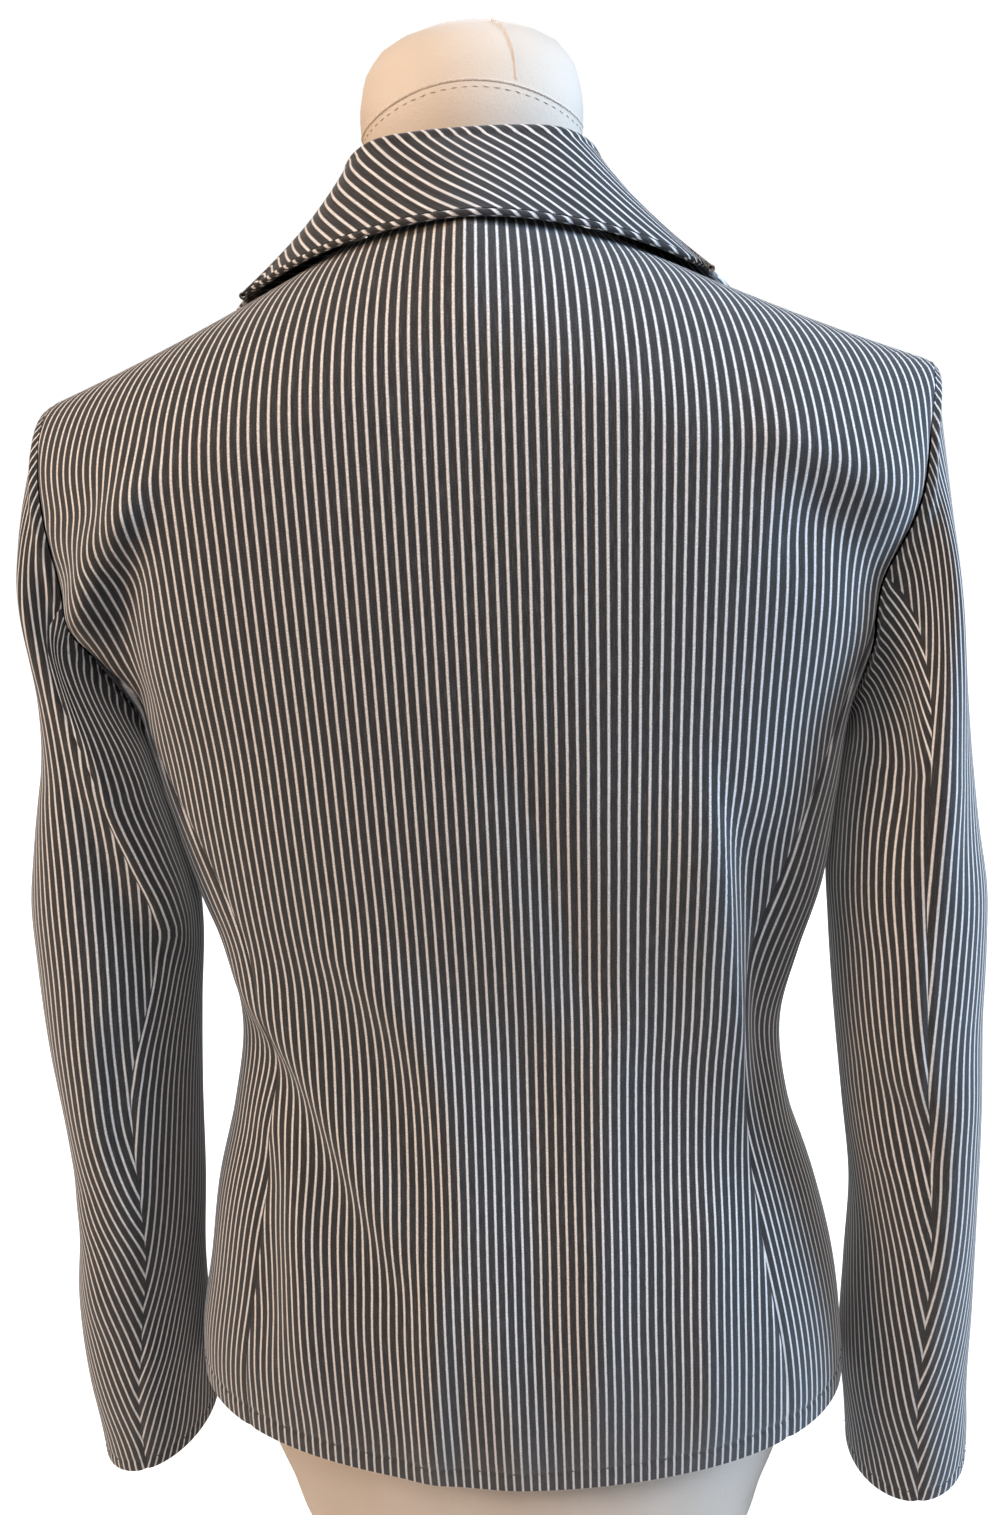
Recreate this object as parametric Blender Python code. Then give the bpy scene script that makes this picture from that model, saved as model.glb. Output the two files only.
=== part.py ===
"""Pinstripe jacket on a limbless dress form.

Metres, +Z up.  The jacket's back faces +Y and its wearer's left is +X.  The origin is on the
surface that the form stands on, at the middle of its flat foot.

Every cloth piece is a wall between an outer surface and the same surface moved in along its
normals.  The body's surface is a stack of rings round the figure, the sleeves' is a stack of
rings round each arm's line, and the seams are lines drawn on those surfaces.
"""
from collections import namedtuple

import bmesh
import bpy
import numpy as np

# ---------------------------------------------------------------- driving dimensions
HEM_HEIGHT = 0.130          # the hem above the surface that the form stands on
CLOTH = 0.0020              # thickness of a body or sleeve wall, cloth with its seam turnings
COLLAR_CLOTH = 0.0022       # two layers of cloth
SEAM_GAP = 0.00040          # between two pieces at a seam
LAYER_GAP = 0.0006          # between two pieces that lie on each other
BACK_ROUNDNESS = 2.25       # 2 is an ellipse, more is squarer

SHOULDER_TIP = 0.200        # from the middle to the sleeve seam
SHOULDER_TIP_HEIGHT = 0.563
SHOULDER_SLOPE = 0.345
SHOULDER_CURVE = 0.50
SHOULDER_ROUND = 0.070      # how far down the shoulder's top is rounded over
SHOULDER_CLOSER = 1.5       # how much closer its rows lie towards that top
SIDE_CALM = 0.030           # folds die out this near the side seams
HEM_RISE = 0.0095           # at the sides
HEM_ROUNDNESS = 1.6         # less lifts the hem sooner beside the middle
NECK_POINT = 0.058          # where the shoulder seam meets the neckline
NECK_BACK_HEIGHT = 0.628
UNDERARM_HEIGHT = 0.410
PANEL_TOP_HEIGHT = 0.455    # where the side back's seam meets the armhole
BUTTON_HEIGHTS = (0.310, 0.232, 0.154)
# a button's turned rings, each with its radius and how far it stands off
BUTTON_RINGS = ((0.0085, 0.0), (0.0100, 0.0011), (0.0100, 0.0029), (0.0092, 0.0036),
                (0.0076, 0.0036), (0.0068, 0.0028))

Body = namedtuple("Body", "height right left back front")
BODY = (
    Body(-0.010, 0.1915, 0.1930, 0.0950, 0.1010),
    Body(0.000, 0.1910, 0.1925, 0.0955, 0.1010),
    Body(0.040, 0.1880, 0.1890, 0.0990, 0.1020),
    Body(0.090, 0.1810, 0.1780, 0.0985, 0.1000),
    Body(0.140, 0.1685, 0.1680, 0.0900, 0.0950),
    Body(0.190, 0.1525, 0.1535, 0.0760, 0.0890),
    Body(0.240, 0.1470, 0.1440, 0.0680, 0.0870),
    Body(0.280, 0.1545, 0.1465, 0.0680, 0.0930),
    Body(0.320, 0.1645, 0.1575, 0.0725, 0.1040),
    Body(0.370, 0.1690, 0.1675, 0.0790, 0.1130),
    Body(0.410, 0.1730, 0.1750, 0.0820, 0.1130),
    Body(0.450, 0.1860, 0.1960, 0.0845, 0.1070),
    Body(0.500, 0.2020, 0.2160, 0.0855, 0.0980),
    Body(0.550, 0.2130, 0.2200, 0.0830, 0.0890),
    Body(0.600, 0.2170, 0.2200, 0.0725, 0.0800),
    Body(0.660, 0.2200, 0.2200, 0.0520, 0.0720),
)

# the armhole seen from behind and from in front, from the shoulder tip down
Armhole = namedtuple("Armhole", "height back_right back_left front")
ARMHOLE = (
    Armhole(0.410, 0.1730, 0.1760, 0.1550),
    Armhole(0.430, 0.1745, 0.1820, 0.1540),
    Armhole(0.455, 0.1765, 0.1870, 0.1560),
    Armhole(0.480, 0.1815, 0.1920, 0.1610),
    Armhole(0.510, 0.1880, 0.1960, 0.1690),
    Armhole(0.540, 0.1940, 0.1995, 0.1830),
    Armhole(0.563, 0.2000, 0.2000, 0.2000),
)

ARMHOLE_MIDDLE = np.array([0.165, 0.0, 0.487])
UNDERARM_BEND = 1.7         # how soon the armhole rises behind the arm
FRONT_TURN = 0.35           # the part of the front armhole that turns up from the underarm
FRONT_TURNED = 0.22         # and how far up it comes in it
FRONT_BEND = 1.35
FRONT_OUT = 1.1             # how much later it has come in from the side seam

# the seam between back and side back, seen from behind
SideSeam = namedtuple("SideSeam", "height right left")
BACK_SEAM = (
    SideSeam(0.000, 0.1500, 0.1520),
    SideSeam(0.050, 0.1470, 0.1490),
    SideSeam(0.120, 0.1350, 0.1370),
    SideSeam(0.190, 0.1250, 0.1260),
    SideSeam(0.240, 0.1205, 0.1200),
    SideSeam(0.290, 0.1250, 0.1240),
    SideSeam(0.340, 0.1380, 0.1370),
    SideSeam(0.400, 0.1590, 0.1620),
    SideSeam(0.455, 0.1765, 0.1870),
)

# where the wearer's left front sinks in under the right one: round the body, and at its top
LAP_FROM = np.radians(158)
LAP_OVER = np.radians(13)
LAP_TOP = 0.405
LAP_RISE = 0.030

# the front's free edge and roll line, by height
FrontEdge = namedtuple("FrontEdge", "height x")
FRONT_EDGE = (
    FrontEdge(0.000, -0.0140),
    FrontEdge(0.280, -0.0140),
    FrontEdge(0.335, -0.0120),
    FrontEdge(0.400, 0.0100),
    FrontEdge(0.480, 0.0360),
    FrontEdge(0.560, 0.0530),
    FrontEdge(0.600, 0.0580),
    FrontEdge(0.622, 0.0580),
)

# soft ridges (height over 0) and troughs in the cloth, drawn on the view from behind or from
# in front: a bent line from start by middle to end, and how wide each of its flanks is
Fold = namedtuple("Fold", "side start middle end high upper lower")
FOLD_ENDS = 0.3             # the part of a fold's length over which it dies out
FOLD_WIDTH = 0.0120         # no flank is narrower here, because the walls' steps are wide
BODY_FOLDS = (
    # the waist's long drag line at the wearer's left, the hollow under it, and a soft second
    Fold(1, (0.150, 0.305), (0.096, 0.236), (0.050, 0.125), 0.0062, 0.022, 0.0120),
    Fold(1, (0.140, 0.270), (0.084, 0.200), (0.056, 0.095), -0.0050, 0.012, 0.020),
    Fold(1, (0.095, 0.320), (0.005, 0.275), (0.028, 0.090), 0.0058, 0.020, 0.013),
    # the left side's skirt
    Fold(1, (0.034, 0.170), (0.038, 0.080), (0.046, -0.020), 0.0048, 0.013, 0.012),
    Fold(1, (0.112, 0.230), (0.104, 0.140), (0.112, 0.020), 0.0035, 0.010, 0.014),
    Fold(1, (0.128, 0.200), (0.122, 0.140), (0.142, 0.050), -0.0035, 0.012, 0.010),
    # the drag fold by the armhole at the wearer's left, and the deep hollow under it
    Fold(1, (0.128, 0.545), (0.162, 0.500), (0.200, 0.440), 0.0088, 0.013, 0.0075),
    Fold(1, (0.150, 0.520), (0.174, 0.465), (0.172, 0.400), -0.0085, 0.0080, 0.017),
    # soft hollows down the middle of the back
    Fold(1, (-0.005, 0.430), (-0.034, 0.345), (-0.050, 0.230), -0.0030, 0.014, 0.014),
    Fold(1, (-0.012, 0.300), (-0.016, 0.200), (-0.018, 0.040), -0.0030, 0.014, 0.014),
    Fold(1, (-0.055, 0.300), (-0.052, 0.200), (-0.040, -0.010), 0.0030, 0.014, 0.014),
    Fold(1, (0.012, 0.150), (0.010, 0.070), (-0.010, -0.010), 0.0030, 0.018, 0.018),
    # the wearer's right: a soft shoulder ridge over a hollow, and a fold at the waist
    Fold(1, (-0.100, 0.548), (-0.150, 0.540), (-0.200, 0.490), 0.0050, 0.020, 0.012),
    Fold(1, (-0.120, 0.515), (-0.160, 0.500), (-0.195, 0.450), -0.0045, 0.012, 0.020),
    Fold(1, (-0.092, 0.415), (-0.110, 0.320), (-0.124, 0.170), 0.0062, 0.0070, 0.022),
    Fold(1, (-0.112, 0.390), (-0.128, 0.310), (-0.138, 0.200), -0.0040, 0.016, 0.007),
    Fold(1, (-0.104, 0.200), (-0.100, 0.110), (-0.108, 0.000), 0.0030, 0.012, 0.014),
    # the hidden front: drag lines from the bust and at the waist, and the skirt's folds
    Fold(-1, (0.135, 0.345), (0.085, 0.275), (0.045, 0.235), 0.0045, 0.016, 0.008),
    Fold(-1, (-0.140, 0.330), (-0.090, 0.270), (-0.050, 0.235), 0.0045, 0.016, 0.008),
    Fold(-1, (0.125, 0.295), (0.090, 0.240), (0.060, 0.200), -0.0035, 0.009, 0.016),
    Fold(-1, (0.160, 0.490), (0.138, 0.430), (0.125, 0.370), 0.0050, 0.014, 0.009),
    Fold(-1, (-0.155, 0.480), (-0.136, 0.420), (-0.120, 0.360), 0.0045, 0.014, 0.009),
    Fold(-1, (0.110, 0.190), (0.105, 0.100), (0.110, -0.010), 0.0040, 0.018, 0.018),
    Fold(-1, (-0.100, 0.180), (-0.100, 0.090), (-0.095, -0.010), 0.0045, 0.018, 0.018),
)

# rings of the sleeves, by height: each one's middle and half its width, and their depth
Sleeve = namedtuple("Sleeve", "height right_x right_across left_x left_across y deep")
SLEEVE = (
    Sleeve(-0.080, 0.2360, 0.0335, 0.2335, 0.0345, -0.0040, 0.0440),
    Sleeve(-0.040, 0.2330, 0.0345, 0.2315, 0.0360, -0.0030, 0.0450),
    Sleeve(0.000, 0.2285, 0.0350, 0.2310, 0.0370, -0.0020, 0.0470),
    Sleeve(0.060, 0.2265, 0.0340, 0.2275, 0.0365, -0.0010, 0.0490),
    Sleeve(0.120, 0.2240, 0.0320, 0.2180, 0.0345, 0.0010, 0.0510),
    Sleeve(0.180, 0.2180, 0.0340, 0.2135, 0.0360, 0.0025, 0.0530),
    Sleeve(0.240, 0.2115, 0.0355, 0.2100, 0.0400, 0.0035, 0.0545),
    Sleeve(0.290, 0.2075, 0.0370, 0.2055, 0.0425, 0.0040, 0.0545),
    Sleeve(0.320, 0.2050, 0.0370, 0.2040, 0.0418, 0.0040, 0.0535),
    Sleeve(0.350, 0.2025, 0.0330, 0.2022, 0.0368, 0.0040, 0.0520),
    Sleeve(0.395, 0.2005, 0.0265, 0.2005, 0.0265, 0.0035, 0.0500),
)
SLEEVE_TOP_RING = 0.385     # where the sleeve head has become a tube
HEAD_AWAY = {1: 0.60, -1: 0.24}      # how far out the head goes at the shoulder's tip
HEAD_TENSION = 0.80         # how far the head keeps the way that it leaves the armhole
FOLD_START = 1.4            # how soon the sleeve's folds begin under the armhole
FOLD_BEHIND = 1.6           # how soon they begin round the sleeve from its outside
HEAD_DOWN = 0.80            # how steeply the head falls away from the armhole
HEAD_DOWN_MORE = 0.45       # and how much more at the top and under the arm
HEAD_AWAY_SIDE = 0.40
HEAD_AWAY_MORE = 0.20
HEAD_BACK = 0.16
Cuff = namedtuple("Cuff", "height lean")     # its middle, and how much higher its outside is
CUFFS = {1: Cuff(-0.0560, -0.0095), -1: Cuff(-0.0650, 0.0090)}

# how far the left sleeve's back seam is dragged in towards the body, in degrees
Drag = namedtuple("Drag", "height angle")
DRAG = (Drag(-0.090, 0.0), Drag(-0.040, 0.0), Drag(0.000, 4.0), Drag(0.047, 14.0),
        Drag(0.095, 20.0), Drag(0.144, 19.0), Drag(0.184, 19.0), Drag(0.225, 21.0),
        Drag(0.260, 31.0), Drag(0.290, 40.0), Drag(0.305, 42.0), Drag(0.320, 38.0),
        Drag(0.350, 28.0), Drag(0.385, 18.0), Drag(0.420, 18.0), Drag(0.600, 18.0))
DRAG_REACH = np.radians(100)    # how far round the sleeve it pulls

# folds of the sleeves, on the view from behind (side 1) or from in front (side -1)
SLEEVE_FOLDS = {
    1: (
        # the sharp fold that runs down from the armhole, and the flat it lies on
        Fold(1, (0.214, 0.505), (0.188, 0.390), (0.156, 0.255), 0.0085, 0.024, 0.0045),
        Fold(1, (0.224, 0.500), (0.200, 0.385), (0.168, 0.260), -0.0030, 0.006, 0.020),
        Fold(1, (0.192, 0.275), (0.203, 0.220), (0.205, 0.150), -0.0040, 0.010, 0.009),
        Fold(1, (0.236, 0.160), (0.236, 0.110), (0.240, 0.040), 0.0020, 0.012, 0.012),
        Fold(1, (0.205, 0.060), (0.215, 0.010), (0.212, -0.050), 0.0025, 0.012, 0.012),
        Fold(-1, (0.235, 0.430), (0.205, 0.370), (0.185, 0.310), 0.0060, 0.012, 0.020),
        Fold(-1, (0.190, 0.240), (0.215, 0.200), (0.235, 0.190), -0.0040, 0.012, 0.012),
        Fold(-1, (0.225, 0.120), (0.218, 0.060), (0.222, -0.010), 0.0025, 0.010, 0.012),
    ),
    -1: (
        Fold(1, (0.180, 0.535), (0.203, 0.450), (0.208, 0.300), 0.0060, 0.010, 0.014),
        Fold(1, (0.184, 0.480), (0.188, 0.415), (0.186, 0.330), -0.0060, 0.008, 0.010),
        Fold(1, (0.230, 0.260), (0.228, 0.160), (0.232, 0.060), 0.0025, 0.014, 0.014),
        Fold(1, (0.196, 0.330), (0.200, 0.260), (0.208, 0.190), 0.0035, 0.009, 0.008),
        Fold(1, (0.192, 0.230), (0.205, 0.190), (0.215, 0.160), -0.0035, 0.009, 0.010),
        Fold(-1, (0.230, 0.440), (0.208, 0.380), (0.188, 0.330), 0.0060, 0.012, 0.020),
        Fold(-1, (0.190, 0.250), (0.212, 0.215), (0.235, 0.205), -0.0045, 0.012, 0.012),
        Fold(-1, (0.222, 0.110), (0.226, 0.050), (0.220, -0.020), 0.0025, 0.010, 0.012),
    ),
}

# the collar from its middle (along 0) to its front end (along 1): its seam and its edge on
# the body's surface, its fold in space, how far the edge stands off, how far the leaf swells
Collar = namedtuple("Collar", "along seam_x seam_z fold_x fold_y fold_z edge_x edge_z lift belly")
COLLAR = (
    # the first row mirrors the third, so that the collar has no corner at its middle
    Collar(-0.14, -0.0250, 0.6275, -0.0235, 0.0150, 0.6640, -0.0330, 0.6215, 0.0070, 0.0005),
    Collar(0.00, 0.0000, 0.6285, 0.0000, 0.0175, 0.6640, 0.0000, 0.6240, 0.0075, 0.0010),
    Collar(0.14, 0.0250, 0.6275, 0.0235, 0.0150, 0.6640, 0.0330, 0.6215, 0.0070, 0.0005),
    Collar(0.28, 0.0455, 0.6248, 0.0425, 0.0065, 0.6620, 0.0680, 0.6140, 0.0065, -0.0010),
    Collar(0.42, 0.0570, 0.6215, 0.0535, -0.0110, 0.6560, 0.0980, 0.6030, 0.0056, -0.0035),
    Collar(0.58, 0.0590, 0.6080, 0.0560, -0.0330, 0.6400, 0.1160, 0.5880, 0.0054, -0.0035),
    Collar(0.75, 0.0580, 0.5900, 0.0555, -0.0620, 0.6150, 0.1220, 0.5680, 0.0056, -0.0010),
    Collar(0.90, 0.0540, 0.5720, 0.0540, -0.0820, 0.5890, 0.1210, 0.5480, 0.0056, 0.0000),
    Collar(1.00, 0.0510, 0.5600, 0.0520, -0.0890, 0.5700, 0.1180, 0.5330, 0.0056, 0.0000),
)
COLLAR_FOLD = 0.0034        # the radius of the collar's fold
ROLL_RADIUS = 0.0014        # the rolled rim along the collar's edge
COLLAR_FOOT = 0.0010        # how far the stand begins over its seam
COLLAR_STAND = (0.0, 0.35, 0.7, 1.0)         # where the stand's rows lie
COLLAR_TURN = np.radians((135, 90, 45, 0))   # and those round its fold
COLLAR_BACK = 0.42          # up to here (along) the seam lies on the back, and the edge too
LEAF_BEND = 0.4             # where the leaf's belly lies between fold and edge
LEAF_OUT = 0.5              # and how far out it leans
UNDER_TOP = 0.0001          # the edge stays this far under the shoulder's top
NECK_AXIS = np.array([0.0, -0.030, 0.0])
CHEST = np.array([0.0, -0.02, 0.50])

# the lapel's free edge, from where the fronts part (along 0) to its tip (along 1)
Lapel = namedtuple("Lapel", "along x height")
LAPEL_EDGE = (
    Lapel(0.00, 0.0060, 0.378),
    Lapel(0.20, 0.0340, 0.402),
    Lapel(0.45, 0.0640, 0.440),
    Lapel(0.75, 0.0940, 0.486),
    Lapel(1.00, 0.1120, 0.518),
)
LAPEL_ROLL = (0.376, 0.5565)    # the roll line's lower and upper end
LAPEL_BELLY = 0.0022            # how far the rolled lapel stands off the front
LAPEL_SWELL = (0.08, 0.98)      # where that swell begins and ends across it, in half turns
NOTCH = 0.014
NOTCH_FROM = 0.5                # how far across it begins
GORGE_GAP = 0.0022              # between the lapel and the collar's end

# rings of the dress form, from its foot to the top of its neck
Form = namedtuple("Form", "height half_width back front middle")
FORM = (
    Form(-0.130, 0.126, 0.073, 0.072, 0.000),
    Form(-0.124, 0.131, 0.077, 0.076, 0.000),
    Form(-0.070, 0.150, 0.081, 0.081, 0.000),
    Form(0.000, 0.166, 0.082, 0.084, 0.000),
    Form(0.060, 0.165, 0.084, 0.086, 0.000),
    Form(0.130, 0.148, 0.072, 0.078, 0.000),
    Form(0.190, 0.128, 0.058, 0.071, 0.000),
    Form(0.240, 0.121, 0.053, 0.069, 0.000),
    Form(0.300, 0.131, 0.058, 0.083, 0.000),
    Form(0.370, 0.147, 0.068, 0.097, 0.000),
    Form(0.430, 0.156, 0.072, 0.095, 0.000),
    Form(0.490, 0.160, 0.070, 0.083, 0.000),
    Form(0.530, 0.158, 0.065, 0.072, 0.000),
    Form(0.556, 0.162, 0.054, 0.052, 0.000),
    Form(0.572, 0.150, 0.047, 0.042, 0.000),
    Form(0.586, 0.1260, 0.043, 0.036, 0.000),
    Form(0.598, 0.0980, 0.041, 0.033, -0.001),
    Form(0.609, 0.0700, 0.040, 0.034, -0.007),
    Form(0.619, 0.0530, 0.040, 0.044, -0.018),
    Form(0.634, 0.0492, 0.040, 0.047, -0.027),
    Form(0.655, 0.0485, 0.040, 0.048, -0.030),
    Form(0.684, 0.0490, 0.042, 0.049, -0.033),
    Form(0.697, 0.0440, 0.038, 0.044, -0.035),
    Form(0.706, 0.0330, 0.028, 0.033, -0.036),
    Form(0.711, 0.0180, 0.015, 0.018, -0.036),
)

# how finely each piece is cut
BACK_COLUMNS = 20
SIDE_COLUMNS = 4
FRONT_COLUMNS = 12
BODY_ROWS = 22              # from the hem to the armhole
BACK_ARMHOLE_ROWS = 8       # up the armhole to the shoulder
FRONT_ARMHOLE_ROWS = 12
HEAD_ROWS = 9
SLEEVE_ROWS = 21
COLLAR_COLUMNS = 30
LAPEL_ROWS = 12
LAPEL_COLUMNS = 4
FORM_COLUMNS = 24
COLLAR_LEAF_ROWS = 5
FOLD_STEPS = 12
ROLL_SIDES = 7
BUTTON_SIDES = 14

# the armhole's stations run from the shoulder tip down the back, under the arm and up the
# front; the sleeve's columns start at them
UNDERARM = BACK_ARMHOLE_ROWS + SIDE_COLUMNS
STATIONS = UNDERARM + FRONT_ARMHOLE_ROWS
HINDARM = 7                 # where the sleeve's back seam starts
FOREARM = 15                # and its front seam
Turn = namedtuple("Turn", "station angle")
TURNS = (Turn(0, 0.0), Turn(HINDARM, 96.0), Turn(UNDERARM, 176.0), Turn(FOREARM, 218.0),
         Turn(STATIONS, 360.0))
HINDARM_ANGLE = np.radians(TURNS[1].angle)

CLOTH_COLOUR = (0.055, 0.055, 0.065)
CLOTH_ROUGH = 0.8
BUTTON_ROUGH = 0.35
SHARP_ANGLE = 0.9           # edges bent more than this show as corners, in radians
FORM_COLOUR = (0.80, 0.74, 0.66)
BUTTON_COLOUR = (0.030, 0.028, 0.028)
STEP = 1e-4                 # the small step that slopes are measured with


# ---------------------------------------------------------------- small helpers
def smooth(table, column, at, by="height"):
    """A table's column at any place, on a smooth curve through its rows."""
    places = np.array([getattr(row, by) for row in table])
    values = np.array([getattr(row, column) for row in table])
    slopes = np.gradient(values, places)
    at = np.clip(np.asarray(at, float), places[0], places[-1])
    row = np.clip(np.searchsorted(places, at) - 1, 0, len(places) - 2)
    span = places[row + 1] - places[row]
    t = (at - places[row]) / span
    return (values[row] * (1 + 2 * t) * (1 - t) ** 2
            + slopes[row] * span * t * (1 - t) ** 2
            + values[row + 1] * t * t * (3 - 2 * t)
            + slopes[row + 1] * span * t * t * (t - 1))


def mix(first, last, part):
    return first + (last - first) * part


def ease(part):
    part = np.clip(part, 0.0, 1.0)
    return part * part * (3 - 2 * part)


def unit(vectors):
    return vectors / np.maximum(np.linalg.norm(vectors, axis=-1, keepdims=True), 1e-12)


def fold_height(folds, side, x, z):
    """How far the folds stand out of a surface at a place seen from behind or in front."""
    x, z = np.broadcast_arrays(np.asarray(x, float), np.asarray(z, float))
    total = np.zeros(x.shape)
    t = np.linspace(0, 1, FOLD_STEPS + 1)
    for fold in folds:
        if fold.side != side:
            continue
        line = np.stack([mix(mix(a, b, t), mix(b, c, t), t)
                         for a, b, c in zip(fold.start, fold.middle, fold.end)], -1)
        step = line[1:] - line[:-1]
        away = np.stack([x, z], -1)[..., None, :] - line[:-1]
        part = np.clip((away * step).sum(-1) / (step ** 2).sum(-1), 0, 1)
        offset = away - part[..., None] * step
        distance = np.sqrt((offset ** 2).sum(-1))
        nearest = np.argmin(distance, axis=-1)[..., None]
        along = (nearest + np.take_along_axis(part, nearest, -1))[..., 0] / FOLD_STEPS
        cross = step[:, 0] * offset[..., 1] - step[:, 1] * offset[..., 0]
        above = np.take_along_axis(cross, nearest, -1)[..., 0] * np.sign(step[0, 0]) > 0
        width = np.maximum(np.where(above, fold.upper, fold.lower), FOLD_WIDTH)
        ends = ease(along / FOLD_ENDS) * ease((1 - along) / FOLD_ENDS)
        near = np.take_along_axis(distance, nearest, -1)[..., 0]
        total = total + fold.high * ends * np.exp(-(near / width) ** 2)
    return total


# ---------------------------------------------------------------- the body's surface
def shoulder_top(x):
    reach = SHOULDER_TIP - np.abs(x)
    return SHOULDER_TIP_HEIGHT + SHOULDER_SLOPE * reach + SHOULDER_CURVE * reach ** 2


def over_shoulder(x, z):
    """1 on the body, falling to 0 at the shoulder's ridge."""
    below = np.clip((shoulder_top(x) - z) / SHOULDER_ROUND, 0.0, 1.0)
    return np.sqrt(1.0 - (1.0 - below) ** 2)


def half_width(x, z):
    return np.where(x < 0, smooth(BODY, "right", z), smooth(BODY, "left", z))


def ring_angle(x, z, side):
    """The angle round the body, 0 at the middle back, of a place seen from behind or front."""
    width = half_width(x, z)
    depth = smooth(BODY, "back" if side > 0 else "front", z)
    inside = np.clip(1.0 - (np.abs(x) / width) ** BACK_ROUNDNESS, 0.0, 1.0)
    y = depth * inside ** (1 / BACK_ROUNDNESS)
    return np.arctan2(x, side * y)


def body_point(angle, z, sink=0.0):
    """A point of the body's outer surface, moved in by sink."""
    sine, cosine = np.sin(angle), np.cos(angle)
    width = half_width(sine, z)
    depth = np.where(cosine > 0, smooth(BODY, "back", z), smooth(BODY, "front", z))
    power = BACK_ROUNDNESS
    radius = ((np.abs(sine) / width) ** power + (np.abs(cosine) / depth) ** power)
    radius = radius ** (-1 / power)
    x, y = radius * sine, radius * cosine
    outward = unit(np.stack([np.sign(x) * (np.abs(x) / width) ** (power - 1) / width,
                             np.sign(y) * (np.abs(y) / depth) ** (power - 1) / depth], -1))
    swell = np.where(cosine > 0, fold_height(BODY_FOLDS, 1, x, z),
                     fold_height(BODY_FOLDS, -1, x, z))
    swell = swell * ease(np.abs(y) / SIDE_CALM) - sink
    calm = over_shoulder(x, z)
    y = y * calm
    return np.stack([x + outward[..., 0] * swell * calm, y + outward[..., 1] * swell * calm,
                     z + 0 * x], -1)


# ---------------------------------------------------------------- walls
def normals_of(surface, s, t):
    """Normals of surface(s, t), from small steps along both; s may run past its ends."""
    low_t, high_t = np.clip(t - STEP, 0, 1), np.clip(t + STEP, 0, 1)
    across = surface(s + STEP, t) - surface(s - STEP, t)
    up = surface(s, high_t) - surface(s, low_t)
    return unit(np.cross(across, up))


def body_normal(angle, z):
    """The body's outward normal."""
    across = body_point(angle + STEP, z) - body_point(angle - STEP, z)
    up = body_point(angle, z + STEP / 10) - body_point(angle, z - STEP / 10)
    return unit(np.cross(up, across))


def add_object(name, points, faces, colour, roughness=CLOTH_ROUGH):
    mesh = bpy.data.meshes.new(name)
    mesh.from_pydata([tuple(map(float, p)) for p in points], [], faces)
    mesh.update()
    thing = bpy.data.objects.new(name, mesh)
    bpy.context.scene.collection.objects.link(thing)
    material = bpy.data.materials.new(name)
    material.use_nodes = True
    shader = material.node_tree.nodes["Principled BSDF"]
    shader.inputs["Base Color"].default_value = (*colour, 1.0)
    shader.inputs["Roughness"].default_value = roughness
    shader.inputs["Metallic"].default_value = 0.0
    mesh.materials.append(material)
    mesh.shade_smooth()
    mesh.set_sharp_from_angle(angle=SHARP_ANGLE)
    return thing


def wall(name, outer, normals, thickness):
    """A closed wall: a grid of outer points, the same moved in, and its four edges."""
    rows, columns = outer.shape[:2]
    lift = np.array([0.0, 0.0, HEM_HEIGHT])
    inner = outer - normals * thickness
    points = np.concatenate([outer.reshape(-1, 3), inner.reshape(-1, 3)]) + lift
    count = rows * columns
    faces = []
    for r in range(rows - 1):
        for c in range(columns - 1):
            a = r * columns + c
            b, d = a + 1, a + columns
            faces.append((a, b, d + 1, d))
            faces.append((count + a, count + d, count + d + 1, count + b))
    border = [(0, c) for c in range(columns)]
    border += [(r, columns - 1) for r in range(1, rows)]
    border += [(rows - 1, c) for c in range(columns - 2, -1, -1)]
    border += [(r, 0) for r in range(rows - 2, 0, -1)]
    loop = [r * columns + c for r, c in border]
    for a, b in zip(loop, loop[1:] + loop[:1]):
        # two pieces that meet at a seam cut its faces from corner to corner the same way
        if points[a][2] < points[b][2]:
            faces += [(b, a, count + b), (a, count + a, count + b)]
        else:
            faces += [(b, a, count + a), (b, count + a, count + b)]
    middle = outer[rows // 2, columns // 2] - outer[rows // 2, columns // 2 - 1]
    up = outer[rows // 2, columns // 2] - outer[rows // 2 - 1, columns // 2]
    if np.dot(np.cross(middle, up), normals[rows // 2, columns // 2]) < 0:
        faces = [face[::-1] for face in faces]
    add_object(name, points, faces, CLOTH_COLOUR)


def pull_in(outer, edges, distance):
    """Move the named edges of a grid in by a distance, along the grid."""
    outer = outer.copy()
    moves = {"first_row": (0, 1, 0), "last_row": (-1, -2, 0),
             "first_column": (0, 1, 1), "last_column": (-1, -2, 1)}
    for edge in edges:
        at, beside, axis = moves[edge]
        line = outer[at] if axis == 0 else outer[:, at]
        next_line = outer[beside] if axis == 0 else outer[:, beside]
        line += unit(next_line - line) * distance
    return outer


# ---------------------------------------------------------------- seams of the body
def hem_height(angle):
    """The hem is lowest at the middle of the back and front."""
    return HEM_RISE * np.abs(np.sin(angle)) ** HEM_ROUNDNESS


def coons(bottom, top, left, right, s, t):
    """A patch between four lines, each a function that gives angle and height."""
    lines = [np.stack(line(at), -1)
             for line, at in ((bottom, s), (top, s), (left, t), (right, t))]
    corners = [np.stack(line(np.full_like(s, at)), -1)
               for line, at in ((bottom, 0.0), (bottom, 1.0), (top, 0.0), (top, 1.0))]
    s, t = s[..., None], t[..., None]
    patch = mix(lines[0], lines[1], t) + mix(lines[2], lines[3], s)
    patch = patch - mix(mix(corners[0], corners[1], s), mix(corners[2], corners[3], s), t)
    return patch[..., 0], patch[..., 1]


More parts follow.
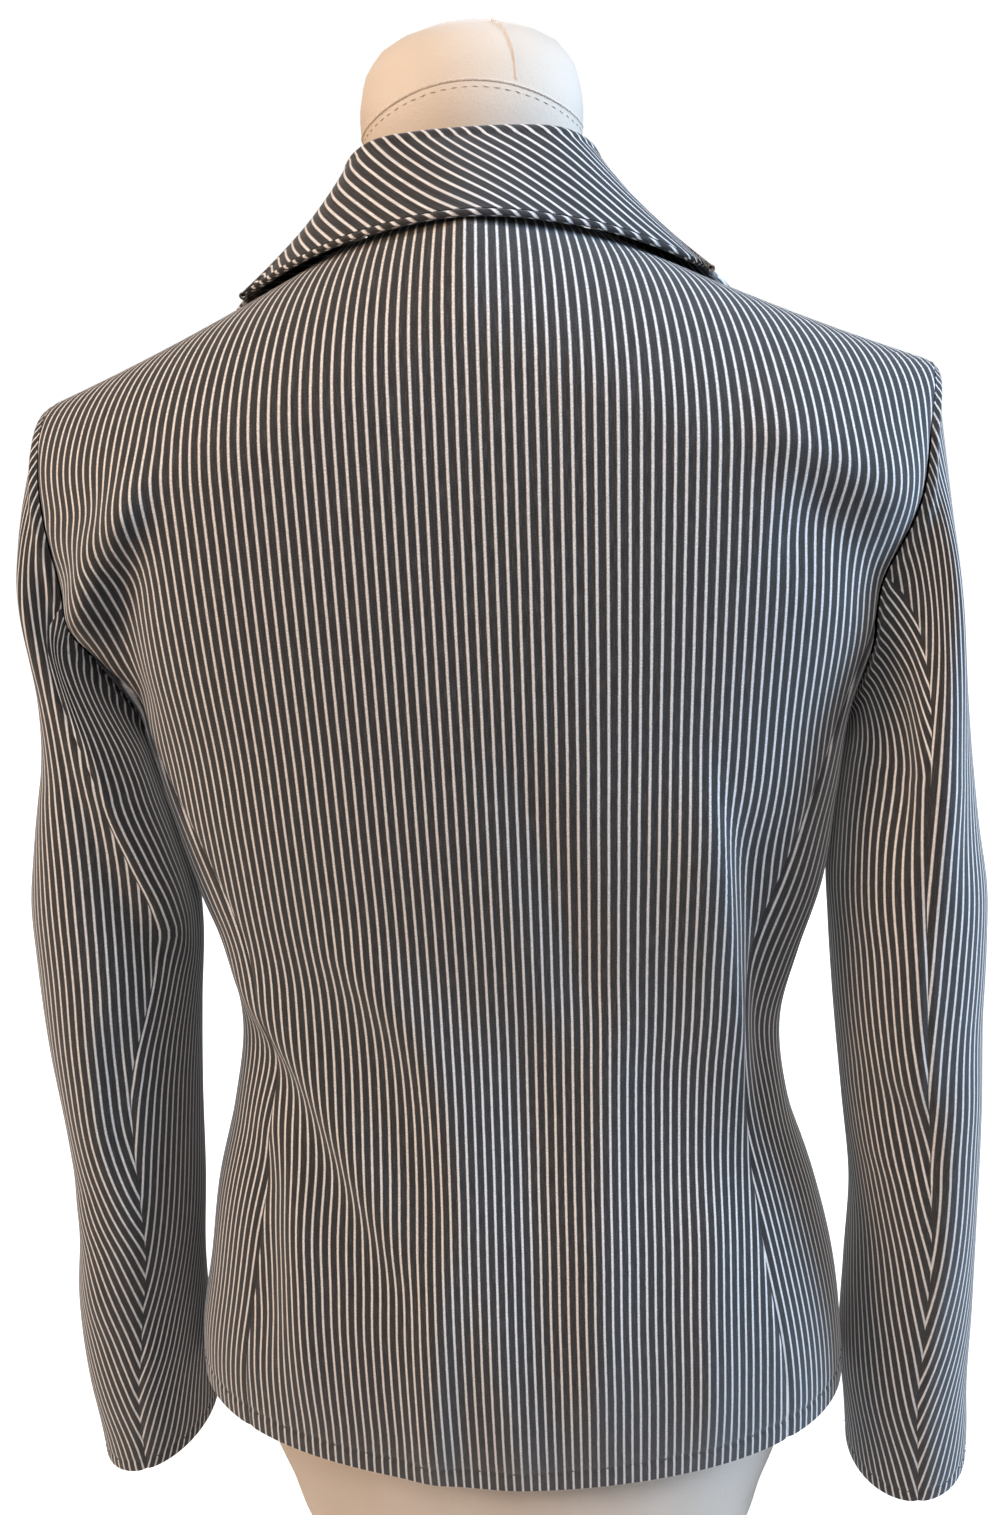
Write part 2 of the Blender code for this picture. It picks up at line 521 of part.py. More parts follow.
def back_patch(s, t):
    """The back's angles and heights, from its right edge (s 0) to its left (s 1)."""
    low = BODY_ROWS / (BODY_ROWS + BACK_ARMHOLE_ROWS)

    def edge(side):
        def line(t):
            angle, z = armhole_edge(side, BACK_ARMHOLE_ROWS * np.clip((1 - t) / (1 - low), 0, 1))
            seam_z = mix(seam_foot(side), PANEL_TOP_HEIGHT, np.clip(t / low, 0, 1))
            seam = back_seam_angle(side, seam_z)
            return np.where(t < low, seam, angle), np.where(t < low, seam_z, z)
        return line

    def hem(s):
        angle = mix(back_seam_angle(-1, seam_foot(-1)), back_seam_angle(1, seam_foot(1)), s)
        return angle, hem_height(angle)

    def shoulder(s):
        x = mix(-SHOULDER_TIP, SHOULDER_TIP, s)
        inside = np.clip(np.abs(x) / NECK_POINT, 0, 1)
        neck = mix(NECK_BACK_HEIGHT, shoulder_top(NECK_POINT), inside ** 2)
        z = np.where(inside < 1, neck, shoulder_top(x))
        return ring_angle(x, z, 1), z

    return coons(hem, shoulder, edge(-1), edge(1), s, t)


def seam_foot(side):
    """The height of the back's seam at the hem."""
    x = side * smooth(BACK_SEAM, "left" if side > 0 else "right", 0.0)
    return hem_height(ring_angle(x, 0.0, 1))


def back_seam_angle(side, z):
    x = side * smooth(BACK_SEAM, "left" if side > 0 else "right", z)
    return ring_angle(x, z, 1)


def side_back_patch(side):
    """A side back, from the back's seam (s 0) to the side seam (s 1), hem to armhole."""
    def patch(s, t):
        _, top = armhole_edge(side, BACK_ARMHOLE_ROWS + SIDE_COLUMNS * s)
        seam_z = mix(seam_foot(side), PANEL_TOP_HEIGHT, t)
        z = mix(mix(seam_foot(side), hem_height(np.pi / 2), s), top, t)
        return mix(back_seam_angle(side, seam_z), side * np.pi / 2, s), z
    return patch


def front_patch(side):
    """A front, from its free edge (s 0) to the side seam and armhole (s 1)."""
    low = BODY_ROWS / (BODY_ROWS + FRONT_ARMHOLE_ROWS)

    def outer_edge(t):
        station = UNDERARM + FRONT_ARMHOLE_ROWS * np.clip((t - low) / (1 - low), 0, 1)
        angle, z = armhole_edge(side, station)
        seam_z = mix(hem_height(np.pi / 2), UNDERARM_HEIGHT, np.clip(t / low, 0, 1))
        return np.where(t < low, np.pi / 2, np.abs(angle)), np.where(t < low, seam_z, z)

    def free_edge(t):
        # in closer steps towards the shoulder's round top
        up = np.clip((t - low) / (1 - low), 0, 1)
        z = mix(mix(hem_height(np.pi), UNDERARM_HEIGHT, np.clip(t / low, 0, 1)),
                shoulder_top(NECK_POINT), 1 - (1 - up) ** SHOULDER_CLOSER)
        return front_angle(side, smooth(FRONT_EDGE, "x", z), z), z

    def hem(s):
        angle = mix(free_edge(np.zeros(1))[0][0], np.pi / 2, s)
        return angle, hem_height(angle)

    def shoulder(s):
        x = mix(NECK_POINT, SHOULDER_TIP, s)
        z = shoulder_top(x)
        return front_angle(side, x, z), z

    def patch(s, t):
        angle, z = coons(hem, shoulder, free_edge, outer_edge, s, t)
        return side * angle, z
    return patch


def front_angle(side, x, z):
    """The angle, from the middle back by this side, of a place x on this side in front."""
    angle = side * ring_angle(side * x, z, -1)
    return np.where(angle < 0, angle + 2 * np.pi, angle)


def lap_depth(side, angle, z):
    """How far the wearer's left front lies in, under the right one, where they lap."""
    if side <= 0:
        return np.zeros(np.shape(angle))
    past = ease((np.abs(angle) - LAP_FROM) / LAP_OVER)
    return past * (CLOTH + LAYER_GAP) * ease((LAP_TOP - z) / LAP_RISE)


# ---------------------------------------------------------------- the armhole
def armhole_edge(side, k):
    """The armhole's angle and height at station k, from the tip by the back and under."""
    k = np.asarray(k, float)
    column = "back_left" if side > 0 else "back_right"
    # down the back from the tip, in closer steps near it
    part = np.clip(k / BACK_ARMHOLE_ROWS, 0, 1) ** SHOULDER_CLOSER
    back_z = mix(SHOULDER_TIP_HEIGHT, PANEL_TOP_HEIGHT, part)
    back = np.abs(ring_angle(side * smooth(ARMHOLE, column, back_z), back_z, 1))
    # round under the arm
    part = np.clip((k - BACK_ARMHOLE_ROWS) / SIDE_COLUMNS, 0, 1)
    top = np.abs(back_seam_angle(side, PANEL_TOP_HEIGHT))
    under_z = mix(UNDERARM_HEIGHT, PANEL_TOP_HEIGHT, (1 - part) ** UNDERARM_BEND)
    under = mix(top, np.pi / 2, part)
    # up the front to the tip
    part = np.clip((k - UNDERARM) / FRONT_ARMHOLE_ROWS, 0, 1)
    past = 1 - ((1 - part) / (1 - FRONT_TURN)) ** FRONT_BEND
    rise = np.where(part < FRONT_TURN, (part / FRONT_TURN) ** 2 * FRONT_TURNED,
                    mix(FRONT_TURNED, 1.0, past))
    front_z = mix(UNDERARM_HEIGHT, SHOULDER_TIP_HEIGHT, rise)
    front = front_angle(side, smooth(ARMHOLE, "front", front_z), front_z)
    front = mix(np.pi / 2, front, ease(part / (FRONT_TURN * FRONT_OUT)))
    angle = np.where(k <= BACK_ARMHOLE_ROWS, back, np.where(k <= UNDERARM, under, front))
    z = np.where(k <= BACK_ARMHOLE_ROWS, back_z, np.where(k <= UNDERARM, under_z, front_z))
    return side * angle, z


def armhole_point(side, k):
    return body_point(*armhole_edge(side, np.mod(k, STATIONS)))


def seam_frame(side, k):
    """The armhole's point, the way out of the body across it, and the walls' shared normal."""
    here = armhole_point(side, k)
    tangent = unit(armhole_point(side, k + 0.02) - armhole_point(side, k - 0.02))
    normal = here - ARMHOLE_MIDDLE * np.array([side, 1, 1])
    normal = unit(normal - tangent * (normal * tangent).sum(-1, keepdims=True))
    out = unit(np.cross(tangent, normal))
    out *= np.sign(out[..., :1] * side)
    return here, out, normal


def head_direction(side, k):
    """Which way the sleeve leaves the armhole: out, and down at the top and underarm."""
    turn = station_turn(k)
    down = HEAD_DOWN + HEAD_DOWN_MORE * np.cos(2 * turn)
    away = mix(HEAD_AWAY_SIDE, HEAD_AWAY[side], (1 + np.cos(turn)) / 2)
    away = away + HEAD_AWAY_MORE * np.sin(turn) ** 2
    return unit(np.stack([side * away, HEAD_BACK * np.sin(turn), -down], -1))


def station_turn(k):
    """The angle round the sleeve (0 outside, 90 behind, 180 by the body) of a station."""
    laps = np.floor(np.asarray(k, float) / STATIONS)
    return np.radians(smooth(TURNS, "angle", k - laps * STATIONS, by="station") + 360 * laps)


# ---------------------------------------------------------------- the sleeves' surface
def dragged(side, turn, z):
    """The angle round the sleeve, with the left sleeve's back seam dragged in."""
    if side < 0:
        return turn
    off = np.abs(np.mod(turn - HINDARM_ANGLE + np.pi, 2 * np.pi) - np.pi)
    return turn + np.radians(smooth(DRAG, "angle", z)) * ease(1 - off / DRAG_REACH)


def sleeve_ring(side, turn, z):
    name = "left" if side > 0 else "right"
    turn = dragged(side, turn, z)
    across, deep = smooth(SLEEVE, name + "_across", z), smooth(SLEEVE, "deep", z)
    x = smooth(SLEEVE, name + "_x", z) + across * np.cos(turn)
    y = smooth(SLEEVE, "y", z) + deep * np.sin(turn)
    return np.stack([side * x, y, z + 0 * x], -1)


def sleeve_folds(side, turn, points):
    """How the sleeve's folds move its points."""
    name = "left" if side > 0 else "right"
    folds = SLEEVE_FOLDS[side]
    x, z = side * points[..., 0], points[..., 2]
    turn = dragged(side, turn, z)
    cosine, sine = np.cos(turn), np.sin(turn)
    swell = np.where(sine > 0, fold_height(folds, 1, x, z), fold_height(folds, -1, x, z))
    swell = swell * ease(np.abs(sine) * FOLD_BEHIND)
    across, deep = smooth(SLEEVE, name + "_across", z), smooth(SLEEVE, "deep", z)
    outward = unit(np.stack([side * cosine / across, sine / deep, 0 * x], -1))
    return outward * swell[..., None]


def sleeve_surface(side, first, last):
    """A sleeve piece between two stations (s) from the armhole (t 0) to the cuff (t 1)."""
    head = HEAD_ROWS / (HEAD_ROWS + SLEEVE_ROWS)

    def surface(s, t):
        k = mix(first, last, s)
        turn = station_turn(k)
        start, out, _ = seam_frame(side, k)
        start = start + out * SEAM_GAP
        down = np.clip((t - head) / (1 - head), 0, 1)
        cuff = CUFFS[side].height + CUFFS[side].lean * np.cos(turn)
        tube = sleeve_ring(side, turn, mix(SLEEVE_TOP_RING, cuff, down))
        ring = sleeve_ring(side, turn, np.full_like(turn, SLEEVE_TOP_RING))
        below = sleeve_ring(side, turn, np.full_like(turn, SLEEVE_TOP_RING - 0.01))
        reach = np.linalg.norm(ring - start, axis=-1, keepdims=True)
        begin = head_direction(side, k) * reach * HEAD_TENSION
        finish = unit(below - ring) * reach * HEAD_TENSION
        h = np.clip(t / head, 0, 1)[..., None]
        cap = (start * (1 + 2 * h) * (1 - h) ** 2 + begin * h * (1 - h) ** 2
               + ring * h * h * (3 - 2 * h) + finish * h * h * (h - 1))
        points = np.where(t[..., None] < head, cap, tube)
        calm = ease(t / head * FOLD_START)[..., None]
        return points + sleeve_folds(side, turn, points) * calm
    return surface


# ---------------------------------------------------------------- cloth pieces
def grid(columns, rows):
    return np.meshgrid(np.linspace(0, 1, columns + 1), np.linspace(0, 1, rows + 1))


def panel(name, patch, columns, rows, trimmed, stations, side=0):
    """A piece of the body: stations lists its (row, column) places on the armhole."""
    angle, z = patch(*grid(columns, rows))
    sink = lap_depth(side, angle, z)
    points = pull_in(body_point(angle, z, sink), trimmed, SEAM_GAP * 0.5)
    normals = body_normal(angle, z)
    for place, edge_side, station in stations:
        _, out, normal = seam_frame(edge_side, float(station))
        points[place] -= out * SEAM_GAP * 0.5
        normals[place] = normal
    wall(name, points, normals, CLOTH)


def make_back():
    rows = BODY_ROWS + BACK_ARMHOLE_ROWS
    stations = [((r, column), side, rows - r) for side, column in ((-1, 0), (1, BACK_COLUMNS))
                for r in range(BODY_ROWS, rows + 1)]
    panel("back", back_patch, BACK_COLUMNS, rows,
          ("first_column", "last_column", "last_row"), stations)


def make_side_back(side, name):
    stations = [((BODY_ROWS, c), side, BACK_ARMHOLE_ROWS + c) for c in range(SIDE_COLUMNS + 1)]
    panel("side_back_" + name, side_back_patch(side), SIDE_COLUMNS, BODY_ROWS,
          ("first_column", "last_column"), stations)


def make_front(side, name):
    rows = BODY_ROWS + FRONT_ARMHOLE_ROWS
    stations = [((r, FRONT_COLUMNS), side, UNDERARM + r - BODY_ROWS)
                for r in range(BODY_ROWS, rows + 1)]
    panel("front_" + name, front_patch(side), FRONT_COLUMNS, rows,
          ("last_column", "last_row"), stations, side)


def make_sleeve(side, name):
    for piece, first, last in (("under_sleeve_", HINDARM, FOREARM),
                               ("upper_sleeve_", FOREARM, STATIONS + HINDARM)):
        surface = sleeve_surface(side, first, last)
        s, t = grid(last - first, HEAD_ROWS + SLEEVE_ROWS)
        normals = normals_of(surface, s, t) * -side
        normals[0] = seam_frame(side, np.arange(first, last + 1.0))[2]
        points = pull_in(surface(s, t), ("first_column", "last_column"), SEAM_GAP * 0.5)
        wall(piece + name, points, normals, CLOTH)


# ---------------------------------------------------------------- collar and lapels
def grid_normals(points):
    """Normals of a grid of points, from its neighbours."""
    return unit(np.cross(np.gradient(points, axis=1), np.gradient(points, axis=0)))


def collar_line(along, side):
    """The collar's line across: up its stand, over the fold, and down its leaf."""
    def of(column):
        return float(smooth(COLLAR, column, along, by="along"))
    at_back = 1 if along < COLLAR_BACK else -1
    seam = body_point(ring_angle(side * of("seam_x"), of("seam_z"), at_back), of("seam_z"))
    fold = np.array([side * of("fold_x"), of("fold_y"), of("fold_z")])
    out = unit((fold - NECK_AXIS) * np.array([1.0, 1.0, 0.0]))
    up = np.array([0.0, 0.0, 1.0])
    foot = seam - out * COLLAR_CLOTH + up * COLLAR_FOOT
    edge_x, edge_z = side * of("edge_x"), of("edge_z")
    edge_z = min(edge_z, float(shoulder_top(edge_x)) - UNDER_TOP)
    edge = body_point(ring_angle(edge_x, edge_z, at_back), edge_z)
    edge = edge + unit(edge - CHEST) * of("lift")
    inside = fold - (out + up) * COLLAR_FOLD
    outside = fold + (out - up) * COLLAR_FOLD
    line = [mix(foot, inside, part) for part in COLLAR_STAND]
    for turn in COLLAR_TURN:
        line.append(fold - up * COLLAR_FOLD
                    + (out * np.cos(turn) + up * np.sin(turn)) * COLLAR_FOLD)
    bend = mix(outside, edge, LEAF_BEND) + (up + out * LEAF_OUT) * of("belly")
    for part in np.linspace(0, 1, COLLAR_LEAF_ROWS + 1)[1:]:
        line.append(mix(mix(outside, bend, part), mix(bend, edge, part), part))
    return np.array(line)


def make_collar():
    places = np.linspace(-1, 1, COLLAR_COLUMNS + 1)
    points = np.stack([collar_line(abs(place), 1 if place > 0 else -1) for place in places], 1)
    normals = grid_normals(points)
    wall("collar", points, normals, COLLAR_CLOTH)
    # the rolled rim, just past the leaf's edge
    edge, up = points[-1], normals[-1]
    past = unit(points[-1] - points[-2])
    middle = edge - up * COLLAR_CLOTH * 0.5 + past * (ROLL_RADIUS + SEAM_GAP)
    turns = np.linspace(0, 2 * np.pi, ROLL_SIDES, endpoint=False)
    rings = [centre + ROLL_RADIUS * (a * np.cos(turns)[:, None] + b * np.sin(turns)[:, None])
             for centre, a, b in zip(middle, past, up)]
    tube("collar_roll", np.array(rings), CLOTH_COLOUR)


def make_lapel(side, name):
    """A lapel lies on its front, turned back along the roll line."""
    s, t = grid(LAPEL_COLUMNS, LAPEL_ROWS)
    roll_z = mix(LAPEL_ROLL[0], LAPEL_ROLL[1], t)
    roll_x = smooth(FRONT_EDGE, "x", roll_z)
    edge_x = smooth(LAPEL_EDGE, "x", t, by="along")
    edge_z = smooth(LAPEL_EDGE, "height", t, by="along")
    x, z = mix(roll_x, edge_x, s), mix(roll_z, edge_z, s)
    # its top runs beside the collar's end, then drops to the tip at the notch
    end = COLLAR[-1]
    beside = mix(end.seam_z, end.edge_z, (x - end.seam_x) / (end.edge_x - end.seam_x))
    gorge = beside - GORGE_GAP - NOTCH * ease((s - NOTCH_FROM) / (1 - NOTCH_FROM))
    z = mix(z, gorge, t ** 3)
    angle = side * front_angle(side, x, z)
    off = CLOTH + LAYER_GAP + LAPEL_BELLY * np.sin(np.pi * mix(*LAPEL_SWELL, s))
    points = body_point(angle, z, lap_depth(side, angle, z) - off)
    normals = body_normal(angle, z)
    wall("lapel_" + name, points, normals, CLOTH)


# ---------------------------------------------------------------- turned and ringed pieces
def tube(name, rings, colour, roughness=CLOTH_ROUGH):
    """A closed solid through rings of points, with a flat cap at each end."""
    count, sides = rings.shape[:2]
    points = rings.reshape(-1, 3) + np.array([0.0, 0.0, HEM_HEIGHT])
    faces = []
    for r in range(count - 1):
        for c in range(sides):
            after = (c + 1) % sides
            faces.append((r * sides + c, r * sides + after, (r + 1) * sides + after,
                          (r + 1) * sides + c))
    faces.append(tuple(range(sides))[::-1])
    faces.append(tuple(range((count - 1) * sides, count * sides)))
    thing = add_object(name, points, faces, colour, roughness)
    shape = bmesh.new()
    shape.from_mesh(thing.data)
    bmesh.ops.recalc_face_normals(shape, faces=shape.faces)
    shape.to_mesh(thing.data)
    shape.free()


def make_buttons():
    """Turned buttons on the wearer's right front, which laps over the left."""
    turns = np.linspace(0, 2 * np.pi, BUTTON_SIDES, endpoint=False)
    for number, z in enumerate(BUTTON_HEIGHTS, 1):
        seat = body_point(np.array(np.pi), np.array(z))
        out = body_normal(np.array(np.pi), np.array(z))
        across = np.array([1.0, 0.0, 0.0])
        up = unit(np.cross(out, across))
        rings = [seat + out * (height + LAYER_GAP) + radius
                 * (across * np.cos(turns)[:, None] + up * np.sin(turns)[:, None])
                 for radius, height in BUTTON_RINGS]
        tube("button_%d" % number, np.array(rings), BUTTON_COLOUR, BUTTON_ROUGH)


def make_form():
    """A smooth limbless torso and neck, from its flat foot to its rounded top."""
    turns = np.linspace(0, 2 * np.pi, FORM_COLUMNS, endpoint=False)
    rings = []
    for ring in FORM:
        depth = np.where(np.cos(turns) > 0, ring.back, ring.front)
        rings.append(np.stack([ring.half_width * np.sin(turns),
                               ring.middle + depth * np.cos(turns),
                               np.full_like(turns, ring.height)], -1))
    tube("dress_form", np.array(rings), FORM_COLOUR)


def main():
    for thing in list(bpy.data.objects):
        bpy.data.objects.remove(thing, do_unlink=True)
    make_form()
    make_back()
    for side, name in ((-1, "right"), (1, "left")):
        make_side_back(side, name)
        make_front(side, name)
        make_sleeve(side, name)
        make_lapel(side, name)
    make_collar()
    make_buttons()


main()
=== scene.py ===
# %% [markdown]
# # A pinstripe jacket on its dress form
#
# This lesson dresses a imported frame: the jacket's cut pieces and the form they hang on are
# already there as plain solids. Every cloth piece is built again as a thin shell with a fine
# grid, from the same rules as the solids, so that stripes can run along the real grain.
# The back faces +Y and the wearer's left is +X. Sizes are in metres, but the short tables are
# written in millimetres, which are easier to compare with a tape.

# %% Load the frame and note its box
from collections import namedtuple

import bpy
import numpy as np
from mathutils import Matrix


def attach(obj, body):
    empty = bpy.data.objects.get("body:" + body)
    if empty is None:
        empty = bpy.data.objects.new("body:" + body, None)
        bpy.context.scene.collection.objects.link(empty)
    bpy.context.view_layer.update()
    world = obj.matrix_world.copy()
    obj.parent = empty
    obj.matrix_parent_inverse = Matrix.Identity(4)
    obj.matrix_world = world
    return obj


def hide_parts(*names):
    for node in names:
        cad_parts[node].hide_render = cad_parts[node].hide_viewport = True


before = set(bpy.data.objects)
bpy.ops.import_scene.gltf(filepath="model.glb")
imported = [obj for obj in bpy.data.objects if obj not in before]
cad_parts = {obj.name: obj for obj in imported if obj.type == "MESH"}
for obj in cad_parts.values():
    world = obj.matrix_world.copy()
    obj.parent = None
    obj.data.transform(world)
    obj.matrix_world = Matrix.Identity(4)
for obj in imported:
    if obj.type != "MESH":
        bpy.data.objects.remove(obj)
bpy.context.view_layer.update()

print("solids:", ", ".join(sorted(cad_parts)))

# %% [markdown]
# ## Curves through short tables
#
# A garment's sizes are measured at a few heights. One smooth curve through each column of a
# table gives every size in between, so the cloth has no corners where a row was measured.

# %% Curves through tables
STEP = 1e-4                 # the small step that slopes are measured with
TINY = 1e-12                # keeps a vector without length from dividing by zero
PLAIN = ("along", "angle", "place", "station")      # the columns that hold no lengths


def table(columns, *rows):
    """A short table: its columns by name, with lengths given in millimetres."""
    return {name: values if name in PLAIN else values / 1000
            for name, values in zip(columns.split(), np.array(rows, float).T)}


def bend(first, away, last, into, t):
    """A curve from first to last that leaves along away and arrives along into."""
    return (first * (1 + 2 * t) * (1 - t) ** 2 + away * t * (1 - t) ** 2
            + last * t * t * (3 - 2 * t) + into * t * t * (t - 1))


def smooth(sizes, column, at, by="height"):
    """A table's column at any place, on a smooth curve through its rows."""
    places, values = sizes[by], sizes[column]
    slopes = np.gradient(values, places)
    at = np.clip(np.asarray(at, float), places[0], places[-1])
    row = np.clip(np.searchsorted(places, at) - 1, 0, len(places) - 2)
    span = places[row + 1] - places[row]
    return bend(values[row], slopes[row] * span, values[row + 1], slopes[row + 1] * span,
                (at - places[row]) / span)


def mix(first, last, part):
    return first + (last - first) * part


def ease(part):
    """0 to 1, slow at both ends."""
    part = np.clip(part, 0.0, 1.0)
    return part * part * (3 - 2 * part)


def unit(vectors):
    return vectors / np.maximum(np.linalg.norm(vectors, axis=-1, keepdims=True), TINY)


def grid(columns, rows, closer=0.5):
    """Places from 0 to 1 both ways, closer together at the edges, where the seams are."""
    lines = []
    for count in (columns, rows):
        even = np.linspace(0, 1, count + 1)
        lines.append(even - closer * np.sin(2 * np.pi * even) / (2 * np.pi))
    return np.meshgrid(*lines)

# %% [markdown]
# ## Folds
#
# Cloth hangs in long, uneven drag lines, not in waves of one size. Each fold here is a bent
# line drawn on the view from behind or in front, with a height and a width for each
# flank. Added up, they push the cloth out or let it sink in.

# %% Folds as bent lines
Fold = namedtuple("Fold", "side start middle end high upper lower")
FOLD_STEPS = 12
FOLD_ENDS = 0.3             # the part of a fold's length over which it dies out


def fold_rows(*rows):
    """Folds from rows in millimetres; side is 1 behind and -1 in front."""
    return [Fold(row[0], *(np.array(size) / 1000 for size in row[1:])) for row in rows]


def fold_height(folds, behind, x, z):
    """How far the folds stand out of a surface, at places behind or in front."""
    x, z = np.broadcast_arrays(np.asarray(x, float), np.asarray(z, float))
    total = np.zeros(x.shape)
    t = np.linspace(0, 1, FOLD_STEPS + 1)
    for fold in folds:
        line = np.stack([mix(mix(a, b, t), mix(b, c, t), t)
                         for a, b, c in zip(fold.start, fold.middle, fold.end)], -1)
        step = line[1:] - line[:-1]
        away = np.stack([x, z], -1)[..., None, :] - line[:-1]
        part = np.clip((away * step).sum(-1) / (step ** 2).sum(-1), 0, 1)
        offset = away - part[..., None] * step
        distance = np.sqrt((offset ** 2).sum(-1))
        nearest = np.argmin(distance, axis=-1)[..., None]
        cross = step[:, 0] * offset[..., 1] - step[:, 1] * offset[..., 0]
        near, part, cross = (np.take_along_axis(values, nearest, -1)[..., 0]
                             for values in (distance, part, cross))
        width = np.where(cross * np.sign(step[0, 0]) > 0, fold.upper, fold.lower)
        along = (nearest[..., 0] + part) / FOLD_STEPS
        ends = ease(along / FOLD_ENDS) * ease((1 - along) / FOLD_ENDS)
        total = total + (behind == (fold.side > 0)) * fold.high * ends * np.exp(
            -(near / width) ** 2)
    return total

# %% [markdown]
# ## The body of the jacket
#
# The figure inside a jacket is a stack of rounded rings. The back, side backs and fronts are
# patches of that one surface, so their edges meet by themselves. The tables hold half widths
# and depths by height above the hem.

# %% Sizes of the body
HEM_HEIGHT = 0.130          # the hem above the floor; the tables measure from the hem
LIFT = np.array([0.0, 0.0, HEM_HEIGHT])
SIDES = {-1: "right", 1: "left"}
BACK_ROUNDNESS = 2.25       # 2 is an ellipse, more is squarer
SHOULDER_TIP = 0.200
SHOULDER_TIP_HEIGHT = 0.563
SHOULDER_SLOPE = 0.345
SHOULDER_CURVE = 0.50
SHOULDER_ROUND = 0.070      # how far down the shoulder's top is rounded over
SIDE_CALM = 0.030           # folds die out this near the side seams

BODY = table(
    "height right left back front",
    (-10, 191.5,   193,   95, 101),
    (  0,   191, 192.5, 95.5, 101),
    ( 40,   188,   189,   99, 102),
    ( 90,   181,   178, 98.5, 100),
    (140, 168.5,   168,   90,  95),
    (190, 152.5, 153.5,   76,  89),
    (240,   147,   144,   68,  87),
    (280, 154.5, 146.5,   68,  93),
    (320, 164.5, 157.5, 72.5, 104),
    (370,   169, 167.5,   79, 113),
    (410,   173,   175,   82, 113),
    (450,   186,   196, 84.5, 107),
    (500,   202,   216, 85.5,  98),
    (550,   213,   220,   83,  89),
    (600,   217,   220, 72.5,  80),
    (660,   220,   220,   52,  72),
)
# the side, where a fold starts, bends and ends, how high it is, and how wide above and below
BODY_FOLDS = fold_rows(
    # the waist's long drag line at the wearer's left, the hollow under it, and a soft second
    (1, (150, 305), (96, 236), (50, 125), 6.2, 22, 12),
    (1, (140, 270), (84, 200), (56, 95), -5, 12, 20),
    (1, (95, 320), (5, 275), (28, 90), 5.8, 20, 13),
    # the left side's skirt
    (1, (34, 170), (38, 80), (46, -20), 4.8, 13, 12),
    (1, (112, 230), (104, 140), (112, 20), 3.5, 10, 14),
    (1, (128, 200), (122, 140), (142, 50), -3.5, 12, 10),
    # the drag fold by the armhole at the wearer's left, and the deep hollow under it
    (1, (128, 545), (162, 500), (200, 440), 8.8, 13, 7.5),
    (1, (150, 520), (174, 465), (172, 400), -8.5, 8, 17),
    # soft hollows down the middle of the back
    (1, (-5, 430), (-34, 345), (-50, 230), -3, 14, 14),
    (1, (-12, 300), (-16, 200), (-18, 40), -3, 14, 14),
    (1, (-55, 300), (-52, 200), (-40, -10), 3, 14, 14),
    (1, (12, 150), (10, 70), (-10, -10), 3, 18, 18),
    # the wearer's right: a soft shoulder ridge over a hollow, and a fold at the waist
    (1, (-100, 548), (-150, 540), (-200, 490), 5, 20, 12),
    (1, (-120, 515), (-160, 500), (-195, 450), -4.5, 12, 20),
    (1, (-92, 415), (-110, 320), (-124, 170), 6.2, 7, 22),
    (1, (-112, 390), (-128, 310), (-138, 200), -4, 16, 7),
    (1, (-104, 200), (-100, 110), (-108, 0), 3, 12, 14),
    # the hidden front: drag lines from the bust and at the waist, and the skirt's folds
    (-1, (135, 345), (85, 275), (45, 235), 4.5, 16, 8),
    (-1, (-140, 330), (-90, 270), (-50, 235), 4.5, 16, 8),
    (-1, (125, 295), (90, 240), (60, 200), -3.5, 9, 16),
    (-1, (160, 490), (138, 430), (125, 370), 5, 14, 9),
    (-1, (-155, 480), (-136, 420), (-120, 360), 4.5, 14, 9),
    (-1, (110, 190), (105, 100), (110, -10), 4, 18, 18),
    (-1, (-100, 180), (-100, 90), (-95, -10), 4.5, 18, 18),
)

# %% The body's surface


def shoulder_top(x):
    reach = SHOULDER_TIP - np.abs(x)
    return SHOULDER_TIP_HEIGHT + SHOULDER_SLOPE * reach + SHOULDER_CURVE * reach ** 2


def over_shoulder(x, z):
    """1 on the body, falling to 0 at the shoulder's ridge."""
    below = np.clip((shoulder_top(x) - z) / SHOULDER_ROUND, 0.0, 1.0)
    return np.sqrt(1.0 - (1.0 - below) ** 2)


def half_width(x, z):
    return np.where(x < 0, smooth(BODY, "right", z), smooth(BODY, "left", z))


def half_depth(y, z):
    return np.where(y > 0, smooth(BODY, "back", z), smooth(BODY, "front", z))


def ring_angle(x, z, side):
    """The angle round the body, 0 at the middle back, of a place seen from behind or front."""
    inside = np.clip(1.0 - (np.abs(x) / half_width(x, z)) ** BACK_ROUNDNESS, 0.0, 1.0)
    return np.arctan2(x, side * half_depth(side, z) * inside ** (1 / BACK_ROUNDNESS))


def body_point(angle, z, sink=0.0):
    """A point of the jacket's outer surface, moved in by sink."""
    sine, cosine = np.sin(angle), np.cos(angle)
    width, depth = half_width(sine, z), half_depth(cosine, z)
    power = BACK_ROUNDNESS
    radius = ((np.abs(sine) / width) ** power + (np.abs(cosine) / depth) ** power)
    radius = radius ** (-1 / power)
    x, y = radius * sine, radius * cosine
    outward = unit(np.stack([np.sign(x) * (np.abs(x) / width) ** (power - 1) / width,
                             np.sign(y) * (np.abs(y) / depth) ** (power - 1) / depth], -1))
    swell = fold_height(BODY_FOLDS, cosine > 0, x, z) * ease(np.abs(y) / SIDE_CALM) - sink
    calm = over_shoulder(x, z)
    y = y * calm
    return np.stack([x + outward[..., 0] * swell * calm, y + outward[..., 1] * swell * calm,
                     z + 0 * x], -1)


print("waist half width:", round(float(smooth(BODY, "right", 0.24)), 4))

